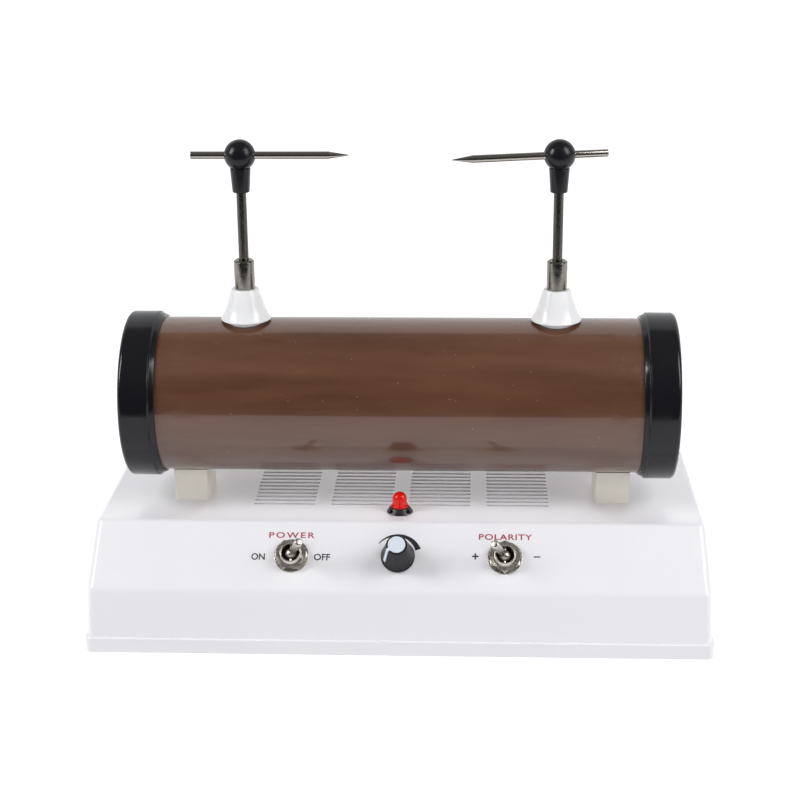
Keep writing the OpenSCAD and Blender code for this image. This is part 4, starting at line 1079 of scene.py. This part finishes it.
def printed(name, words, ink, middle, up, high, wide, spread=1.0):
    """Words printed on the panel, fitted to a width and height in mm about their middle."""
    curve = bpy.data.curves.new(name, "FONT")
    curve.body = words
    curve.extrude = 0.025
    curve.offset = 0.018
    curve.space_character = spread
    curve.resolution_u = 6
    flat = settled(plain_object(name, curve), name)
    corners = [Vector(v.co) for v in flat.data.vertices]
    low = Vector([min(c[k] for c in corners) for k in range(3)])
    size = Vector([max(c[k] for c in corners) for k in range(3)]) - low
    flat.data.transform(on_panel(middle, up, 0.005)
                        @ Matrix.Diagonal((wide / size.x, high / size.y, 1, 1))
                        @ Matrix.Translation((-low.x - size.x / 2, -low.y - size.y / 2, 0)))
    fit(flat, ink, "stand")


printed("power_mark", "POWER", red_ink, -58.3, 32.6, 3.4, 25.0, spread=1.3)
printed("polarity_mark", "POLARITY", red_ink, 58.4, 32.6, 3.4, 29.0, spread=1.1)
printed("on_mark", "ON", black_ink, -76.2, 20.0, 3.8, 7.4)
printed("off_mark", "OFF", black_ink, -41.3, 20.0, 3.8, 8.8)
printed("plus_mark", "+", black_ink, 42.0, 21.3, 3.6, 3.6)
printed("minus_mark", "−", black_ink, 75.4, 21.3, 0.7, 3.6)

# ------------------------------------------------------------------ inlet bush
# A black rubber bush pushed into the hole in the back wall, where the supply lead goes in.

cord_hole, bush_groove, bush_back, bush_front = 3.4, 4.4, -4.3, 1.5
bush = turned("inlet_bush", [
    (cord_hole, bush_back), (5.4, bush_back, 0.3), (6.0, -3.9, 0.2), (6.0, -2.6),
    (bush_groove, -2.6), (bush_groove, 0.1), (6.2, 0.1), (6.2, 0.9, 0.4),
    (5.2, bush_front, 0.5), (cord_hole, bush_front, 0.4)],
    at(inlet_x, wall_y(inlet_h), foot_up + inlet_h, (-math.pi / 2 + draft, "X")), 64)
black_rubber, tree, surface, spot = finish("moulded_black_rubber", "202022", 0.62)
bloom = put(tree, "ShaderNodeTexNoise", {"Scale": every(3), "Detail": 5.0},
            [("Vector", spot, "Object")])
vary(tree, surface, bloom, tones=("19191B", "2E2E31"))
skin_grain = put(tree, "ShaderNodeTexNoise", {"Scale": every(0.5), "Detail": 2.0},
                 [("Vector", spot, "Object")])
vary(tree, surface, skin_grain, relief=(0.2, 0.0001))
fit(smooth(bush, 30), black_rubber, "stand", "cable_grommet", slot="grommet_rubber")

# ------------------------------------------------------------------ feet and screws
# Four turned rubber feet, each held by a cross-head screw into a boss of the bottom cover,
# and six like screws that hold the cover in the housing's pillars. All are zinc plated.

foot_spots = [(sx * 139.25, sy * 55.0, 0.0) for sx in (-1, 1) for sy in (-1, 1)]
pillar_spots = [(x, sy * 61.0, 3.7) for x in (-157.25, 28.0, 157.25) for sy in (-1, 1)]
foot_r, foot_tall = 7.0, 2.5
foot_bore, recess_r, recess_top = 1.7, 3.3, 1.3
any_way = 1.57

set_tree, asked = rule_tree("pieces_at_spots", Spots="Geometry", Piece="Object", Turn="Float",
                            Seed="Int", Material="Material")
one_piece = put(set_tree, "GeometryNodeObjectInfo", {}, [("Object", asked, "Piece")])
chance = put(set_tree, "FunctionNodeRandomValue", {"data_type": "FLOAT"}, [
    (3, asked, "Turn"), ("Seed", asked, "Seed")])
facing = put(set_tree, "ShaderNodeCombineXYZ", {}, [("Z", chance, 1)])
copies = put(set_tree, "GeometryNodeInstanceOnPoints", {}, [
    ("Points", asked, "Spots"), ("Instance", one_piece, "Geometry"),
    ("Rotation", facing, "Vector")])
close_rule(set_tree, asked, copies, "Instances")


def set_out(name, piece, spots, turn, seed, material):
    """One piece set at each spot, turned at random about its own axis by up to turn."""
    mesh = bpy.data.meshes.new(name)
    mesh.from_pydata([Vector(s) * mm for s in spots], [], [])
    return by_rule(name, set_tree, mesh, Piece=piece, Turn=turn, Seed=seed, Material=material)


zinc_plate, tree, surface, spot = finish("zinc_plated_steel", "B4B6B8", 0.34, Metallic=1.0)
spangle = put(tree, "ShaderNodeTexVoronoi", {"Scale": every(1.1)}, [("Vector", spot, "Object")])
vary(tree, surface, spangle, "Distance", rough=(0.26, 0.46))


def cross_screw(shank_r, head_r, head_h, long):
    """A cross-head screw, head down at z = 0 and shank up, made at the origin."""
    screw = turned("screw", [
        (0, -head_h), (head_r * 0.55, -head_h, 0.2), (head_r, -0.25, 0.2), (head_r, 0),
        (shank_r, 0), (shank_r, long - 0.8), (0.3, long), (0, long)], steps=24)
    cross = [slab("arm", (-a, -b, -head_h - 0.5), (a, b, -head_h * 0.45), 0, Matrix.Scale(mm, 4))
             for a, b in ((head_r * 0.55, 0.32), (0.32, head_r * 0.55))]
    return smooth(carve(screw, cross), 30)


foot = turned("foot", [
    (foot_bore, recess_top), (recess_r, recess_top), (recess_r, 0, 0.2), (foot_r - 0.7, 0, 0.3),
    (foot_r, 0.8, 0.4), (foot_r, foot_tall), (foot_bore, foot_tall)], steps=48)
feet = set_out("rubber_foot_set", smooth(foot, 30), foot_spots, 0.0, 1, black_rubber)
fit(feet, black_rubber, "stand", "rubber_feet", slot="foot_rubber")
foot_fixings = set_out("foot_screw_set", cross_screw(1.4, 3.0, 1.0, 7.5),
                       [(x, y, recess_top) for x, y, _ in foot_spots], any_way, 3, zinc_plate)
fit(foot_fixings, zinc_plate, "stand", "foot_screws", slot="zinc_steel")
cover_fixings = set_out("cover_screw_set", cross_screw(1.2, 2.8, 1.1, 12.0), pillar_spots,
                        any_way, 5, zinc_plate)
fit(cover_fixings, zinc_plate, "stand", "cover_screws", slot="zinc_steel")

# ------------------------------------------------------------------ bottom cover
# A flat cover moulded in grey-white ABS with a spark-eroded grain, and the bolts, pins and
# nuts of the other sections that keep the shape of their solids.


def dress(material, *nodes):
    """Gives solids that keep their own shape a finish of their own."""
    for name in nodes:
        cad[name].data.materials.clear()
        cad[name].data.materials.append(material)


grained_abs, tree, surface, spot = finish("grained_grey_white_abs", "D8D7DA", 0.48, IOR=1.53)
cloudy = put(tree, "ShaderNodeTexNoise", {"Scale": every(30), "Detail": 2.0},
             [("Vector", spot, "Object")])
vary(tree, surface, cloudy, tones=("D2D1D5", "DDDCDE"))
eroded = put(tree, "ShaderNodeTexNoise", {"Scale": every(0.6), "Detail": 3.0},
             [("Vector", spot, "Object")])
vary(tree, surface, eroded, relief=(0.3, 0.0001))
dress(grained_abs, "bottom_cover")
dress(zinc_plate, "saddle_bolts", "board_screws")
dress(nickel_plate, "lever_pins", "potentiometer_shaft", "potentiometer_nut")
dress(drawn_steel, "stem_nuts")

# ------------------------------------------------------------------ core and windings
# Inside the tube: a bundle of black-oxidised soft iron rods, the primary of enamelled
# copper wire, a tube of varnished paper, and the fine secondary in a turned bobbin.

dress(mottled("annealed_iron", "4F4E50", 0.55, 2, 6.0, tones=("3F3D3F", "68625E"),
              Metallic=1.0), "iron_core")


def bands(size):
    """The scale of a wave texture with a band every so many millimetres."""
    return every(size) / 20 * math.pi * 2


def wound_wire(name, colour, wire):
    """Enamelled copper wire in close turns: bands one wire wide along the winding's axis."""
    material, tree, surface, spot = finish(name, colour, 0.3, Metallic=0.6)
    turns = put(tree, "ShaderNodeTexWave",
                {"wave_type": "BANDS", "bands_direction": "X", "Scale": bands(wire),
                 "Distortion": 0.2}, [("Vector", spot, "Object")])
    enamel = put(tree, "ShaderNodeTexNoise", {"Scale": every(8), "Detail": 3.0},
                 [("Vector", spot, "Object")])
    shade = put(tree, "ShaderNodeHueSaturation", {"Color": linear(colour)},
                [("Value", enamel, "Fac")])
    bright = put(tree, "ShaderNodeMix", {"data_type": "RGBA", "Factor": 0.35, 7: linear(colour)},
                 [(6, shade, "Color")])
    tree.links.new(bright.outputs[2], surface.inputs["Base Color"])
    vary(tree, surface, turns, relief=(0.6, wire * mm / 3))
    return material


dress(wound_wire("thick_enamelled_copper", "B4622D", 1.1), "primary_winding")
dress(wound_wire("fine_enamelled_copper", "A4512A", 0.5), "secondary_winding")

varnished_paper, tree, surface, spot = finish("varnished_paper", "8C6B3B", 0.4, Coat_Weight=0.4)
fibres = put(tree, "ShaderNodeMapping", {"Scale": (0.2, 1, 1)}, [("Vector", spot, "Object")])
paper_grain = put(tree, "ShaderNodeTexNoise", {"Scale": every(1.5), "Detail": 6.0},
                  [("Vector", fibres, "Vector")])
vary(tree, surface, paper_grain, tones=("7C5C30", "9C7A48"))
dress(varnished_paper, "insulating_tube")
dress(mottled("turned_cream_plastic", "D8D2C0", 0.4, 0.8, 4.0, tones=("D0C9B5", "E0DBCC"),
              relief=(0.2, 0.0001)), "secondary_bobbin")

# ------------------------------------------------------------------ interrupter board
# The electronic interrupter on its board: green lacquered glass fibre on brass spacers, a
# sleeved capacitor, a power transistor on a finned sink, a fuse in its clips, and the
# supply transformer with its stack of laminations beside it.

green_board, tree, surface, spot = finish("green_lacquered_board", "2C6641", 0.3,
                                          Coat_Weight=0.5, Coat_Roughness=0.15)
tracks = put(tree, "ShaderNodeTexBrick",
             {"Scale": every(26), "Mortar Size": 0.02, "Color1": linear("2C6641"),
              "Color2": linear("2F6E45"), "Mortar": linear("4B8A55")},
             [("Vector", spot, "Object")])
tree.links.new(tracks.outputs["Color"], surface.inputs["Base Color"])
weave = put(tree, "ShaderNodeTexNoise", {"Scale": every(0.8), "Detail": 2.0},
            [("Vector", spot, "Object")])
vary(tree, surface, weave, relief=(0.1, 0.00005))
dress(green_board, "circuit_board")

dress(mottled("tarnished_brass", "C3A150", 0.3, 2.5, 5.0, tones=("9C7E3A", "D2B566"),
              Metallic=1.0), "board_spacers", "fuse_clips")
dress(mottled("shrunk_blue_sleeve", "2C3F7A", 0.28, 3, 4.0, tones=("253569", "374B8C"),
              relief=(0.2, 0.0002)), "smoothing_capacitor")

extruded_aluminium, tree, surface, spot = finish("extruded_aluminium", "8B8E92", 0.36,
                                                 Metallic=1.0)
die_lines = put(tree, "ShaderNodeMapping", {"Scale": (1, 1, 0.02)}, [("Vector", spot, "Object")])
lines = put(tree, "ShaderNodeTexNoise", {"Scale": every(0.4), "Detail": 3.0},
            [("Vector", die_lines, "Vector")])
vary(tree, surface, lines, relief=(0.3, 0.00008))
dress(extruded_aluminium, "heat_sink")
dress(mottled("moulded_black_epoxy", "1D1D1F", 0.5, 0.3, 3.0, tones=("18181A", "29292C")),
      "switching_transistor")

# laminations lie across Y, half a millimetre each; drawn 1 mm apart so that they show
silicon_steel, tree, surface, spot = finish("laminated_silicon_steel", "5A5C60", 0.5,
                                            Metallic=0.8)
sheets = put(tree, "ShaderNodeTexWave",
             {"wave_type": "BANDS", "bands_direction": "Y", "Scale": bands(1)},
             [("Vector", spot, "Object")])
vary(tree, surface, sheets, tones=("3D3F43", "73757A"), relief=(0.4, 0.0002))
dress(silicon_steel, "transformer_core")

yellow_tape, tree, surface, spot = finish("yellow_polyester_tape", "CBB356", 0.25)
overlap = put(tree, "ShaderNodeTexWave",
              {"wave_type": "BANDS", "bands_direction": "Z", "Scale": bands(9),
               "Distortion": 0.6}, [("Vector", spot, "Object")])
vary(tree, surface, overlap, tones=("C0A748", "D6C06A"), relief=(0.2, 0.0002))
dress(yellow_tape, "transformer_winding")

dress(mottled("fuse_glass", "D8DCDE", 0.08, 4, 2.0, rough=(0.04, 0.14), IOR=1.5,
              Transmission_Weight=0.5), "fuse")
dress(mottled("pressed_zinc_can", "96989A", 0.4, 4, 6.0, tones=("828486", "ABACAD"),
              Metallic=1.0), "potentiometer")
